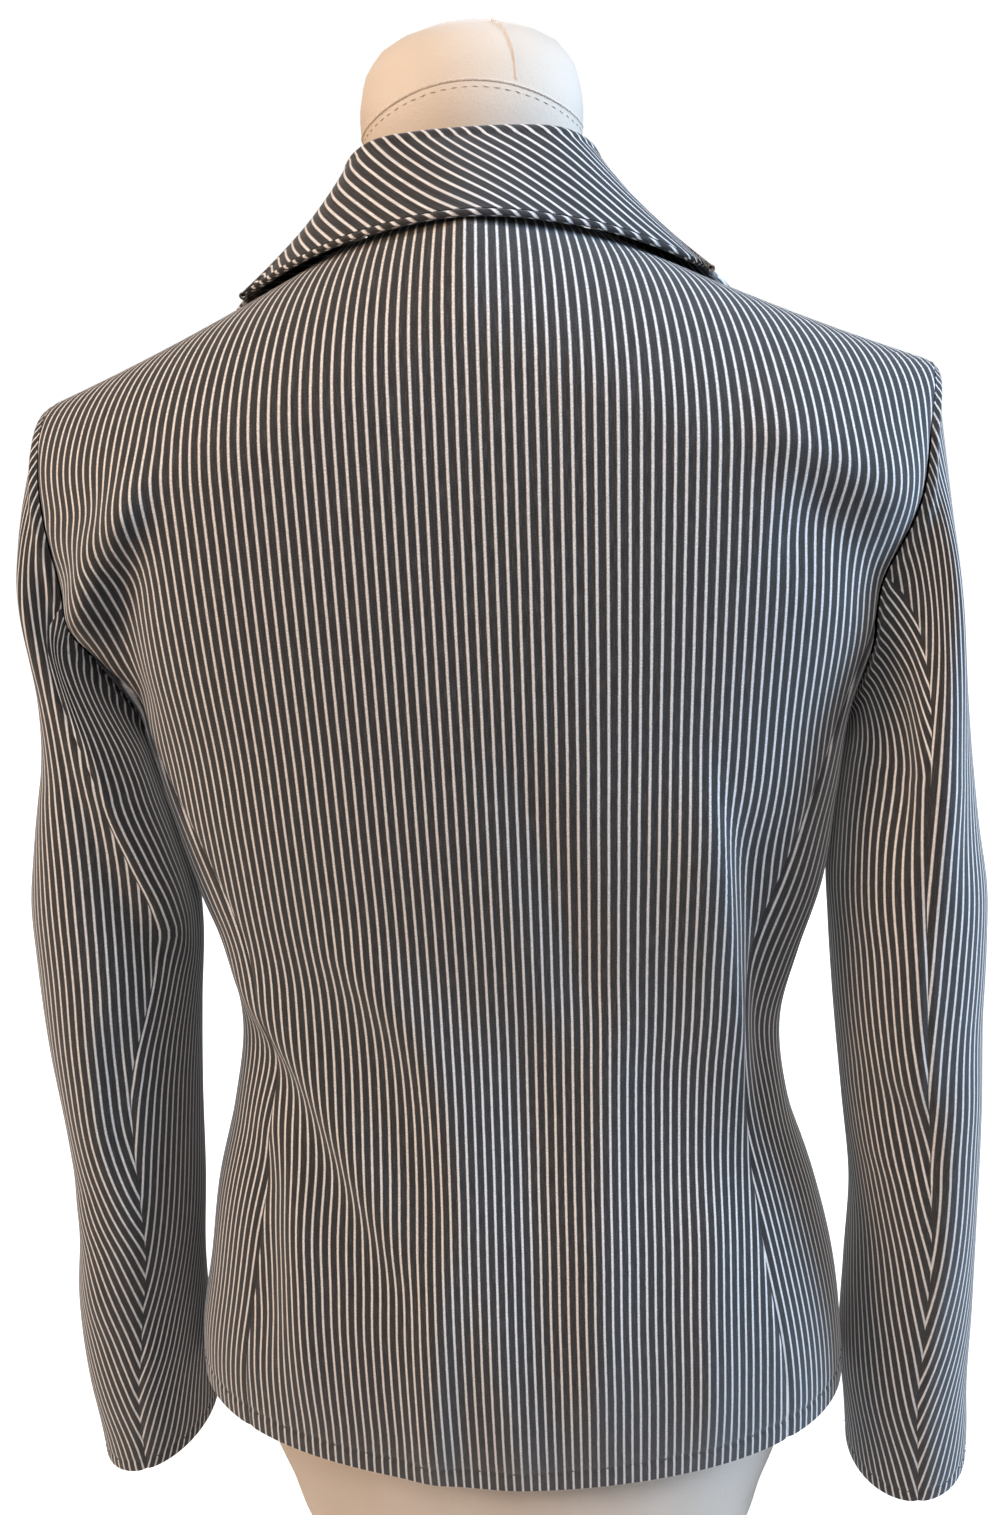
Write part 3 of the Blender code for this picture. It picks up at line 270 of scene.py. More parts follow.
# %% [markdown]
# ## Where the pieces are cut
#
# The back is one piece between two curved seams; a side back joins each of them to a front.
# Each patch is blended between its four edge lines, given as an angle round the body and a
# height. The armhole is one line, told by stations that run from the shoulder's tip down the
# back, under the arm and up the front.

# %% Seam lines of the body
HEM_RISE = 0.0095           # at the sides
HEM_ROUNDNESS = 1.6         # less lifts the hem sooner beside the middle
NECK_POINT = 0.058
NECK_BACK_HEIGHT = 0.628
UNDERARM_HEIGHT = 0.410
PANEL_TOP_HEIGHT = 0.455
SHOULDER_CLOSER = 1.5
BACK_ARMHOLE = 8            # stations down the back
SIDE_ARMHOLE = 4            # under the arm
FRONT_ARMHOLE = 12          # up the front
BACK_LOW = 22 / 30          # the part of the back's length that lies below the armhole
FRONT_LOW = 22 / 34
UNDERARM = BACK_ARMHOLE + SIDE_ARMHOLE
STATIONS = UNDERARM + FRONT_ARMHOLE
UNDERARM_BEND = 1.7         # how soon the armhole rises behind the arm
FRONT_TURN = 0.35           # the part of the front armhole that turns up from the underarm
FRONT_TURNED = 0.22         # and how far up it comes in it
FRONT_BEND = 1.35
FRONT_OUT = 1.1             # how much later it has come in from the side seam

ARMHOLE = table(
    "height back_right back_left front",
    (410,   173,   176, 155),
    (430, 174.5,   182, 154),
    (455, 176.5,   187, 156),
    (480, 181.5,   192, 161),
    (510,   188,   196, 169),
    (540,   194, 199.5, 183),
    (563,   200,   200, 200),
)
BACK_SEAM = table("height right left", (0, 150, 152), (50, 147, 149), (120, 135, 137),
    (190, 125, 126), (240, 120.5, 120), (290, 125, 124), (340, 138, 137), (400, 159, 162),
    (455, 176.5, 187))
FRONT_EDGE = table("height x", (0, -14), (280, -14), (335, -12), (400, 10), (480, 36), (560, 53),
    (600, 58), (622, 58))


def hem_height(angle):
    """The hem is lowest at the middle of the back and front."""
    return HEM_RISE * np.abs(np.sin(angle)) ** HEM_ROUNDNESS


def back_seam_angle(side, z):
    return ring_angle(side * smooth(BACK_SEAM, SIDES[side], z), z, 1)


def seam_foot(side):
    """The height of the back's seam at the hem."""
    return hem_height(back_seam_angle(side, 0.0))


def front_angle(side, x, z):
    """The angle, from the middle back by this side, of a place x on this side in front."""
    angle = side * ring_angle(side * x, z, -1)
    return np.where(angle < 0, angle + 2 * np.pi, angle)


def armhole_edge(side, k):
    """The armhole's angle and height at station k, from the tip by the back and under."""
    k = np.asarray(k, float)
    part = np.clip(k / BACK_ARMHOLE, 0, 1) ** SHOULDER_CLOSER
    back_z = mix(SHOULDER_TIP_HEIGHT, PANEL_TOP_HEIGHT, part)
    back = np.abs(ring_angle(side * smooth(ARMHOLE, "back_" + SIDES[side], back_z), back_z, 1))
    part = np.clip((k - BACK_ARMHOLE) / SIDE_ARMHOLE, 0, 1)
    under = mix(np.abs(back_seam_angle(side, PANEL_TOP_HEIGHT)), np.pi / 2, part)
    under_z = mix(UNDERARM_HEIGHT, PANEL_TOP_HEIGHT, (1 - part) ** UNDERARM_BEND)
    part = np.clip((k - UNDERARM) / FRONT_ARMHOLE, 0, 1)
    rise = np.where(part < FRONT_TURN, (part / FRONT_TURN) ** 2 * FRONT_TURNED,
                    mix(FRONT_TURNED, 1.0, 1 - ((1 - part) / (1 - FRONT_TURN)) ** FRONT_BEND))
    front_z = mix(UNDERARM_HEIGHT, SHOULDER_TIP_HEIGHT, rise)
    front = front_angle(side, smooth(ARMHOLE, "front", front_z), front_z)
    front = mix(np.pi / 2, front, ease(part / (FRONT_TURN * FRONT_OUT)))
    angle, z = (np.where(k <= BACK_ARMHOLE, first, np.where(k <= UNDERARM, second, third))
                for first, second, third in ((back, under, front), (back_z, under_z, front_z)))
    return side * angle, z

# %% Patches between the seam lines


def coons(bottom, top, left, right, s, t):
    """A patch between four lines, each a function that gives angle and height."""
    lines = [np.stack(line(at), -1)
             for line, at in ((bottom, s), (top, s), (left, t), (right, t))]
    corners = [np.stack(line(np.full_like(s, at)), -1)
               for line, at in ((bottom, 0.0), (bottom, 1.0), (top, 0.0), (top, 1.0))]
    s, t = s[..., None], t[..., None]
    patch = mix(lines[0], lines[1], t) + mix(lines[2], lines[3], s)
    patch = patch - mix(mix(corners[0], corners[1], s), mix(corners[2], corners[3], s), t)
    return patch[..., 0], patch[..., 1]


def back_patch(s, t):
    """The back's angles and heights, from its right edge (s 0) to its left (s 1)."""
    def edge(side):
        def line(t):
            above = np.clip((1 - t) / (1 - BACK_LOW), 0, 1)
            angle, z = armhole_edge(side, BACK_ARMHOLE * above)
            seam_z = mix(seam_foot(side), PANEL_TOP_HEIGHT, np.clip(t / BACK_LOW, 0, 1))
            seam = back_seam_angle(side, seam_z)
            return np.where(t < BACK_LOW, seam, angle), np.where(t < BACK_LOW, seam_z, z)
        return line

    def hem(s):
        angle = mix(back_seam_angle(-1, seam_foot(-1)), back_seam_angle(1, seam_foot(1)), s)
        return angle, hem_height(angle)

    def shoulder(s):
        x = mix(-SHOULDER_TIP, SHOULDER_TIP, s)
        inside = np.clip(np.abs(x) / NECK_POINT, 0, 1)
        neck = mix(NECK_BACK_HEIGHT, shoulder_top(NECK_POINT), inside ** 2)
        z = np.where(inside < 1, neck, shoulder_top(x))
        return ring_angle(x, z, 1), z

    return coons(hem, shoulder, edge(-1), edge(1), s, t)


def side_back_patch(side):
    """A side back, from the back's seam (s 0) to the side seam (s 1), hem to armhole."""
    def patch(s, t):
        _, top = armhole_edge(side, BACK_ARMHOLE + SIDE_ARMHOLE * s)
        seam_z = mix(seam_foot(side), PANEL_TOP_HEIGHT, t)
        z = mix(mix(seam_foot(side), hem_height(np.pi / 2), s), top, t)
        return mix(back_seam_angle(side, seam_z), side * np.pi / 2, s), z
    return patch


def front_patch(side):
    """A front, from its free edge (s 0) to the side seam and armhole (s 1)."""
    def outer_edge(t):
        up = np.clip((t - FRONT_LOW) / (1 - FRONT_LOW), 0, 1)
        angle, z = armhole_edge(side, UNDERARM + FRONT_ARMHOLE * up)
        seam_z = mix(hem_height(np.pi / 2), UNDERARM_HEIGHT, np.clip(t / FRONT_LOW, 0, 1))
        low = t < FRONT_LOW
        return np.where(low, np.pi / 2, np.abs(angle)), np.where(low, seam_z, z)

    def free_edge(t):
        up = np.clip((t - FRONT_LOW) / (1 - FRONT_LOW), 0, 1)
        z = mix(mix(hem_height(np.pi), UNDERARM_HEIGHT, np.clip(t / FRONT_LOW, 0, 1)),
                shoulder_top(NECK_POINT), 1 - (1 - up) ** SHOULDER_CLOSER)
        return front_angle(side, smooth(FRONT_EDGE, "x", z), z), z

    def hem(s):
        angle = mix(free_edge(np.zeros(1))[0][0], np.pi / 2, s)
        return angle, hem_height(angle)

    def shoulder(s):
        x = mix(NECK_POINT, SHOULDER_TIP, s)
        z = shoulder_top(x)
        return front_angle(side, x, z), z

    def patch(s, t):
        angle, z = coons(hem, shoulder, free_edge, outer_edge, s, t)
        return side * angle, z
    return patch

# %% [markdown]
# ## From a grid of points to a piece of cloth
#
# A cut piece is a closed wall: its outer grid, the same grid moved in, and a rim. Real seams
# are pressed, so the cloth dips within a few millimetres of each seam edge. Those grooves
# are what the eye reads as sewing.

# %% Grid tools
SEAM_DIP = 0.0007
SEAM_DIP_WIDTH = 0.0022
CLOTH_SHELL = 0.0012
DOUBLE_SHELL = 0.0016       # where two layers lie together
HEM_DIP = 0.0004            # the shallow line where a turned-up hem is sewn
HEM_STITCH = 0.0145         # its height above the hem
CUFF_STITCH = 0.0080


def grid_normals(points, flip=1):
    """Normals of a grid of points, from its neighbours."""
    return flip * unit(np.cross(np.gradient(points, axis=1), np.gradient(points, axis=0)))


def run_of(points, axis):
    """How far each point lies along its row (axis 1) or column (axis 0)."""
    steps = np.linalg.norm(np.diff(points, axis=axis), axis=-1)
    start = np.zeros_like(np.take(steps, [0], axis=axis))
    return np.cumsum(np.concatenate([start, steps], axis=axis), axis=axis)


def edge_distance(points, edge):
    """How far each point lies from one edge of its grid."""
    axis = 0 if "row" in edge else 1
    run = run_of(points, axis)
    if edge.startswith("last"):
        run = np.take(run, [-1], axis=axis) - run
    return run


def press(points, flip, edges, dip=SEAM_DIP, away=0.0):
    """Dip the cloth at its seam edges, or in a line that far away from them."""
    sink = sum(dip * np.exp(-((edge_distance(points, edge) - away) / SEAM_DIP_WIDTH) ** 2)
               for edge in edges)
    return points - grid_normals(points, flip) * sink[..., None]

# %% A mesh with its cloth coordinates
SHARP = np.radians(55)      # edges bent more than this show as corners


def add_mesh(name, points, faces, material, uv=None):
    """A mesh object; uv holds each point's place on the flat cloth, in metres."""
    mesh = bpy.data.meshes.new(name)
    mesh.from_pydata(points.tolist(), [], faces)
    if uv is not None:
        layer = mesh.uv_layers.new(name="cloth")
        corners = np.empty(len(mesh.loops), dtype=np.int32)
        mesh.loops.foreach_get("vertex_index", corners)
        layer.data.foreach_set("uv", uv.reshape(-1, 2)[corners].astype(np.float32).ravel())
    mesh.materials.append(material)
    mesh.shade_smooth()
    mesh.set_sharp_from_angle(angle=SHARP)
    thing = bpy.data.objects.new(name, mesh)
    bpy.context.scene.collection.objects.link(thing)
    return thing


def ring_faces(rings, closed=True, inward=False):
    """Faces between rings of points, and a cap on the first and the last ring."""
    index = np.arange(rings.size // 3).reshape(rings.shape[:2])
    after = np.roll(index, -1, axis=1)
    if not closed:
        index, after = index[:, :-1], after[:, :-1]
    corners, caps = [index[:-1], after[:-1], after[1:], index[1:]], [index[0][::-1], index[-1]]
    if inward:
        corners, caps = corners[:1] + corners[:0:-1], [cap[::-1] for cap in caps]
    return np.stack(corners, -1).reshape(-1, 4).tolist() + [cap.tolist() for cap in caps]


def cloth_wall(name, outer, uv, material, flip=1, thickness=CLOTH_SHELL):
    """A closed wall: a grid of outer points, the same moved in, and its rim."""
    rows, columns = outer.shape[:2]
    count = rows * columns
    inner = outer - grid_normals(outer, flip) * thickness
    points = np.concatenate([outer.reshape(-1, 3), inner.reshape(-1, 3)]) + LIFT
    index = np.arange(count).reshape(rows, columns)
    front = np.stack([index[:-1, :-1], index[:-1, 1:], index[1:, 1:], index[1:, :-1]], -1)
    front = front.reshape(-1, 4)
    loop = np.concatenate([index[0], index[1:, -1], index[-1, -2::-1], index[-2:0:-1, 0]])
    after = np.roll(loop, -1)
    rim = np.stack([after, loop, loop + count, after + count], -1)
    faces = np.concatenate([front, front[:, ::-1] + count, rim])
    if flip < 0:
        faces = faces[:, ::-1]
    return add_mesh(name, points, faces.tolist(), material, np.stack([uv, uv]))


def hand_over(piece, node=None):
    """Hang a piece on the frame's root and hide the solid that it stands for, if one is named."""
    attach(piece, "root")
    if node:
        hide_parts(node)
    print(piece.name, len(piece.data.polygons), "faces")


def finish_cloth(piece, node):
    """Hand over a cloth piece."""
    hand_over(piece, node)

# %% [markdown]
# ## Shader maths
#
# Colours and bumps are worked out from the cloth's own coordinates. A small wrapper lets a
# recipe read as arithmetic: adding two sockets adds a Math node.

# %% A small shader language


class Value:
    """A shader number; arithmetic on it adds Math nodes."""

    def __init__(self, paint, socket):
        self.paint, self.socket = paint, socket

    def __add__(self, other):
        return self.paint.maths("ADD", self, other)

    def __sub__(self, other):
        return self.paint.maths("SUBTRACT", self, other)

    def __rsub__(self, other):
        return self.paint.maths("SUBTRACT", other, self)

    def __mul__(self, other):
        return self.paint.maths("MULTIPLY", self, other)

    def __truediv__(self, other):
        return self.paint.maths("DIVIDE", self, other)

    __rmul__ = __mul__

    def step(self, low, high):
        """0 below low, 1 above high, soft between."""
        return self.paint.node(
            "ShaderNodeMapRange", {"interpolation_type": "SMOOTHSTEP", "clamp": True},
            {"Value": self, "From Min": low, "From Max": high})


class Paint:
    """One material and the nodes of its recipe."""

    def __init__(self, name, **constants):
        self.material = bpy.data.materials.new(name)
        self.material.use_nodes = True
        self.tree = self.material.node_tree
        self.shader = self.tree.nodes["Principled BSDF"]
        for socket, value in constants.items():
            self.shader.inputs[socket.replace("_", " ")].default_value = value

    def plug(self, socket, value):
        if isinstance(value, Value):
            self.tree.links.new(value.socket, socket)
        else:
            socket.default_value = value

    def node(self, kind, settings, sockets, out=0):
        node = self.tree.nodes.new(kind)
        for name, value in settings.items():
            setattr(node, name, value)
        for key, value in sockets.items():
            self.plug(node.inputs[key], value)
        return Value(self, node.outputs[out])

    def maths(self, operation, *values):
        return self.node("ShaderNodeMath", {"operation": operation}, dict(enumerate(values)))

    def cloth_place(self):
        """Across and along the cloth, in metres."""
        place = self.node("ShaderNodeUVMap", {"uv_map": "cloth"}, {})
        return [self.node("ShaderNodeSeparateXYZ", {}, {0: place}, out) for out in (0, 1)]

    def object_place(self):
        return self.node("ShaderNodeTexCoord", {}, {}, 3)

    def point(self, x, y):
        return self.node("ShaderNodeCombineXYZ", {}, {0: x, 1: y})

    def noise(self, place, scale, detail=2.0, roughness=0.5):
        return self.node("ShaderNodeTexNoise", {},
                         {"Vector": place, "Scale": scale, "Detail": detail,
                          "Roughness": roughness})

    def blend(self, part, first, last):
        return self.node("ShaderNodeMix", {"data_type": "RGBA"},
                         {0: part, 6: first, 7: last}, 2)

    def colour(self, value):
        self.plug(self.shader.inputs["Base Color"], value)

    def relief(self, height, distance, strength):
        self.plug(self.shader.inputs["Normal"],
                  self.node("ShaderNodeBump", {}, {"Height": height, "Distance": distance,
                                                   "Strength": strength}))

# %% [markdown]
# ## The pinstripe cloth
#
# It is a smooth worsted: dark charcoal yarns with a thin pale stripe every four and a half
# millimetres. The stripe follows the piece's own flat coordinates, so it bends with every
# fold and is cut off at the seams like the woven thing. Long thin noise makes the warp
# streaks, short noise the fluff.

# %% Pinstripe material
STRIPE_PITCH = 0.00452
STRIPE_HALF = 0.00056
STRIPE_SOFT = 0.00030       # how far a stripe's edge blurs
STRIPE_RAGGED = 0.0003      # and how far it wanders
# the grains of each noise to the metre, across and along the cloth
DRIFT_GRAINS = (40, 25)
RAGGED_GRAINS = (900, 260)
WARP_GRAINS = (2600, 110)
FLUFF_GRAINS = (1300, 1300)
GROUND = (0.025, 0.0235, 0.0245, 1)
GROUND_LIGHT = (0.068, 0.064, 0.065, 1)
STRIPE = (0.88, 0.84, 0.81, 1)
STRIPE_DULL = (0.62, 0.58, 0.56, 1)


def pinstripe_cloth(name):
    paint = Paint(name, Roughness=0.86, Sheen_Weight=0.30, Sheen_Roughness=0.45,
                  Specular_IOR_Level=0.25)
    u, v = paint.cloth_place()

    def woven(grains, detail=2.0, roughness=0.5):
        place = paint.point(u * grains[0], v * grains[1])
        return paint.noise(place, 1.0, detail, roughness)

    drift = woven(DRIFT_GRAINS) - 0.5
    across = u + drift * STRIPE_RAGGED
    phase = paint.maths("FRACT", across / STRIPE_PITCH + 0.5)
    away = paint.maths("ABSOLUTE", phase - 0.5) * STRIPE_PITCH
    ragged = woven(RAGGED_GRAINS, 3.0) - 0.5
    stripe = 1 - (away + ragged * STRIPE_RAGGED).step(STRIPE_HALF - STRIPE_SOFT,
                                                      STRIPE_HALF + STRIPE_SOFT)
    warp = woven(WARP_GRAINS)
    fluff = woven(FLUFF_GRAINS, 3.0, 0.6)
    ground = paint.blend((warp * 0.6 + fluff * 0.4).step(0.42, 0.68), GROUND, GROUND_LIGHT)
    pale = paint.blend(fluff.step(0.35, 0.65), STRIPE_DULL, STRIPE)
    paint.colour(paint.blend(stripe, ground, pale))
    paint.relief(warp * 0.5 + fluff * 0.5 + stripe * 0.6, 0.00022, 0.6)
    return paint.material


cloth = pinstripe_cloth("pinstripe_cloth")
print("material:", cloth.name, len(cloth.node_tree.nodes), "nodes")

# %% [markdown]
# ## Stripes that know the grain
#
# The weaver's stripes are parallel on the flat cloth. So a point's stripe coordinate is how
# far the cloth runs, in and out over the folds, from the piece's grain line to that point at
# the same height. That distance is summed once round the whole body and then looked up.

# %% Runs round the body
RUN_HEIGHTS = np.arange(-0.012, 0.664, 0.003)
RUN_ANGLES = np.radians(np.arange(-180, 180.1, 0.75))
LAST_CELL = 1.001           # a place at the far edge still has a point after it


def body_runs():
    """How far the cloth runs round the body from the middle back, by height and angle."""
    angle, z = np.meshgrid(RUN_ANGLES, RUN_HEIGHTS)
    run = run_of(body_point(angle, z), 1)
    middle = len(RUN_ANGLES) // 2
    return run - run[:, [middle]]


RUNS = body_runs()


def run_at(angle, z):
    """The run round the body at any angle and height."""
    row = (z - RUN_HEIGHTS[0]) / (RUN_HEIGHTS[1] - RUN_HEIGHTS[0])
    column = (angle - RUN_ANGLES[0]) / (RUN_ANGLES[1] - RUN_ANGLES[0])
    row = np.clip(row, 0, len(RUN_HEIGHTS) - LAST_CELL)
    column = np.clip(column, 0, len(RUN_ANGLES) - LAST_CELL)
    r, c = row.astype(int), column.astype(int)
    row, column = row - r, column - c
    return mix(mix(RUNS[r, c], RUNS[r, c + 1], column),
               mix(RUNS[r + 1, c], RUNS[r + 1, c + 1], column), row)


print("hem all round:", round(float(RUNS[4, -1] - RUNS[4, 0]), 3), "m")

# %% [markdown]
# ## The back
#
# One piece from seam to seam, cut with its stripes upright. Its stripes stay upright while
# the seams curve in to the waist, so the seams cut them off one by one.

# %% The back
BACK_COLUMNS = 150
BACK_ROWS = 200


def make_back():
    angle, z = back_patch(*grid(BACK_COLUMNS, BACK_ROWS))
    points = press(body_point(angle, z), -1, ("first_column", "last_column", "last_row"))
    points = press(points, -1, ("first_row",), HEM_DIP, HEM_STITCH)
    uv = np.stack([run_at(angle, z), z], -1)
    finish_cloth(cloth_wall("back_cloth", points, uv, cloth, -1), "back")


make_back()

# %% [markdown]
# ## The side backs
#
# Each is a narrow piece with its own grain line up its middle. It widens towards the hem, so
# its stripes meet the back's upright ones at a slant along the seam.

# %% The side backs
SIDE_COLUMNS = 34
SIDE_ROWS = 150


def make_side_back(side, name):
    angle, z = side_back_patch(side)(*grid(SIDE_COLUMNS, SIDE_ROWS))
    points = press(body_point(angle, z), -side, ("first_column", "last_column", "last_row"))
    points = press(points, -side, ("first_row",), HEM_DIP, HEM_STITCH)
    run = run_at(angle, z)
    uv = np.stack([run - (run[:, :1] + run[:, -1:]) / 2, z], -1)
    finish_cloth(cloth_wall("side_back_cloth_" + name, points, uv, cloth, -side),
                 "side_back_" + name)


for side, name in SIDES.items():
    make_side_back(side, name)

# %% [markdown]
# ## The fronts
#
# The photograph shows only the back, so the fronts are plain: each is one piece with its
# stripes parallel to its front edge. The wearer's right front laps over the left one, which
# therefore lies a little deeper where they cross.

# %% The fronts
FRONT_COLUMNS = 80
FRONT_ROWS = 180
SOLID_CLOTH = 0.0020        # the wall of the solids
LAYER_GAP = 0.0006
LAP_FROM = np.radians(158)
LAP_OVER = np.radians(13)
LAP_TOP = 0.405
LAP_RISE = 0.03


def lap_depth(side, angle, z):
    """How far the wearer's left front lies in, under the right one, where they lap."""
    if side <= 0:
        return np.zeros(np.shape(angle))
    past = ease((np.abs(angle) - LAP_FROM) / LAP_OVER)
    return past * (SOLID_CLOTH + LAYER_GAP) * ease((LAP_TOP - z) / LAP_RISE)


def make_front(side, name):
    angle, z = front_patch(side)(*grid(FRONT_COLUMNS, FRONT_ROWS))
    points = press(body_point(angle, z, lap_depth(side, angle, z)), side,
                   ("last_column", "last_row"))
    # a front that crosses the middle comes back from the other end of the run
    inside = np.clip(angle, -np.pi, np.pi)
    past = (np.abs(angle) - np.pi).clip(0, None) * smooth(BODY, "front", z)
    run = np.abs(run_at(side * np.pi + 0 * angle, z)) - np.abs(run_at(inside, z)) - past
    finish_cloth(cloth_wall("front_cloth_" + name, points, np.stack([run, z], -1), cloth, side),
                 "front_" + name)


for side, name in SIDES.items():
    make_front(side, name)

# %% [markdown]
# ## The sleeves
#
# A tailored sleeve has two pieces. They leave the armhole as a rounded head and become a
# tube that hangs empty. Along the seam at the back of the arm both pieces are cut at a slant
# to the grain, so the stripes meet there in a row of downward points.

# %% Sizes of the sleeves
SEAM_GAP = 0.00020
HINDARM = 7                 # the station where the back seam starts
FOREARM = 15                # and the front seam
SLEEVE_TOP_RING = 0.385     # where the sleeve head has become a tube
TUBE_STEP = 0.01            # how far below it the tube's way down is read
STATION_STEP = 0.02         # the small step that the armhole's direction is read with
HEAD_AWAY = {1: 0.60, -1: 0.24}     # how far out the head goes at the shoulder's tip
HEAD_AWAY_SIDE = 0.40
HEAD_AWAY_MORE = 0.20
HEAD_BACK = 0.16
HEAD_DOWN = 0.80            # how steeply it falls away from the armhole
HEAD_DOWN_MORE = 0.45       # and how much more at the top and under the arm
HEAD_TENSION = 0.80         # how far it keeps the way that it leaves the armhole
FOLD_START = 1.4            # how soon the sleeve's folds begin under the armhole
FOLD_BEHIND = 1.6           # how soon they begin round the sleeve from its outside
HEAD = 9 / 30               # the part of a sleeve piece's rows that lies in the head
ARMHOLE_MIDDLE = np.array([0.165, 0.0, 0.487])
TURNS = table("station angle", (0, 0.0), (HINDARM, 96.0), (UNDERARM, 176.0),
              (FOREARM, 218.0), (STATIONS, 360.0))
# how far the left sleeve's back seam is dragged in towards the body, in degrees
DRAG = table("height angle", (-90, 0), (-40, 0), (0, 4), (47, 14), (95, 20), (144, 19), (184, 19),
    (225, 21), (260, 31), (290, 40), (305, 42), (320, 38), (350, 28), (385, 18), (420, 18),
    (600, 18))
DRAG_REACH = np.radians(100)    # how far round the sleeve it pulls
Cuff = namedtuple("Cuff", "height lean")     # its middle, and how much higher its outside is
CUFFS = {1: Cuff(-0.0560, -0.0095), -1: Cuff(-0.0650, 0.0090)}

SLEEVE = table(
    "height right_x right_across left_x left_across y deep",
    (-80,   236, 33.5, 233.5, 34.5,  -4,   44),
    (-40,   233, 34.5, 231.5,   36,  -3,   45),
    (  0, 228.5,   35,   231,   37,  -2,   47),
    ( 60, 226.5,   34, 227.5, 36.5,  -1,   49),
    (120,   224,   32,   218, 34.5,   1,   51),
    (180,   218,   34, 213.5,   36, 2.5,   53),
    (240, 211.5, 35.5,   210,   40, 3.5, 54.5),
    (290, 207.5,   37, 205.5, 42.5,   4, 54.5),
    (320,   205,   37,   204, 41.8,   4, 53.5),
    (350, 202.5,   33, 202.2, 36.8,   4,   52),
    (395, 200.5, 26.5, 200.5, 26.5, 3.5,   50),
)
SLEEVE_FOLDS = {1: fold_rows(
    # the sharp fold that runs down from the armhole, and the flat it lies on
    (1, (214, 505), (188, 390), (156, 255), 8.5, 24, 4.5),
    (1, (224, 500), (200, 385), (168, 260), -3, 6, 20),
    (1, (192, 275), (203, 220), (205, 150), -4, 10, 9),
    (1, (236, 160), (236, 110), (240, 40), 2, 12, 12),
    (1, (205, 60), (215, 10), (212, -50), 2.5, 12, 12),
    (-1, (235, 430), (205, 370), (185, 310), 6, 12, 20),
    (-1, (190, 240), (215, 200), (235, 190), -4, 12, 12),
    (-1, (225, 120), (218, 60), (222, -10), 2.5, 10, 12),
), -1: fold_rows(
    (1, (180, 535), (203, 450), (208, 300), 6, 10, 14),
    (1, (184, 480), (188, 415), (186, 330), -6, 8, 10),
    (1, (230, 260), (228, 160), (232, 60), 2.5, 14, 14),
    (1, (196, 330), (200, 260), (208, 190), 3.5, 9, 8),
    (1, (192, 230), (205, 190), (215, 160), -3.5, 9, 10),
    (-1, (230, 440), (208, 380), (188, 330), 6, 12, 20),
    (-1, (190, 250), (212, 215), (235, 205), -4.5, 12, 12),
    (-1, (222, 110), (226, 50), (220, -20), 2.5, 10, 12),
)}

# %% The sleeves' surface


def armhole_point(side, k):
    return body_point(*armhole_edge(side, np.mod(k, STATIONS)))


def seam_frame(side, k):
    """The armhole's point and the way out of the body across it."""
    here = armhole_point(side, k)
    tangent = unit(armhole_point(side, k + STATION_STEP)
                   - armhole_point(side, k - STATION_STEP))
    normal = here - ARMHOLE_MIDDLE * np.array([side, 1, 1])
    normal = unit(normal - tangent * (normal * tangent).sum(-1, keepdims=True))
    out = unit(np.cross(tangent, normal))
    return here, out * np.sign(out[..., :1] * side)


def station_turn(k):
    """The angle round the sleeve (0 outside, 90 behind, 180 by the body) of a station."""
    laps = np.floor(np.asarray(k, float) / STATIONS)
    return np.radians(smooth(TURNS, "angle", k - laps * STATIONS, by="station") + 360 * laps)


def head_direction(side, k):
    """Which way the sleeve leaves the armhole: out, and down at the top and underarm."""
    turn = station_turn(k)
    down = HEAD_DOWN + HEAD_DOWN_MORE * np.cos(2 * turn)
    away = (mix(HEAD_AWAY_SIDE, HEAD_AWAY[side], (1 + np.cos(turn)) / 2)
            + HEAD_AWAY_MORE * np.sin(turn) ** 2)
    return unit(np.stack([side * away, HEAD_BACK * np.sin(turn), -down], -1))


def dragged(side, turn, z):
    """The angle round the sleeve, with the left sleeve's back seam dragged in."""
    if side < 0:
        return turn
    seam = np.radians(TURNS["angle"][1])
    off = np.abs(np.mod(turn - seam + np.pi, 2 * np.pi) - np.pi)
    return turn + np.radians(smooth(DRAG, "angle", z)) * ease(1 - off / DRAG_REACH)


def sleeve_size(side, z):
    """Half the sleeve's width and depth."""
    return smooth(SLEEVE, SIDES[side] + "_across", z), smooth(SLEEVE, "deep", z)


def sleeve_ring(side, turn, z):
    turn = dragged(side, turn, z)
    across, deep = sleeve_size(side, z)
    x = smooth(SLEEVE, SIDES[side] + "_x", z) + across * np.cos(turn)
    y = smooth(SLEEVE, "y", z) + deep * np.sin(turn)
    return np.stack([side * x, y, z + 0 * x], -1)


def sleeve_folds(side, turn, points):
    """How the sleeve's folds move its points."""
    x, z = side * points[..., 0], points[..., 2]
    turn = dragged(side, turn, z)
    cosine, sine = np.cos(turn), np.sin(turn)
    swell = fold_height(SLEEVE_FOLDS[side], sine > 0, x, z)
    swell = swell * ease(np.abs(sine) * FOLD_BEHIND)
    across, deep = sleeve_size(side, z)
    return unit(np.stack([side * cosine / across, sine / deep, 0 * x], -1)) * swell[..., None]


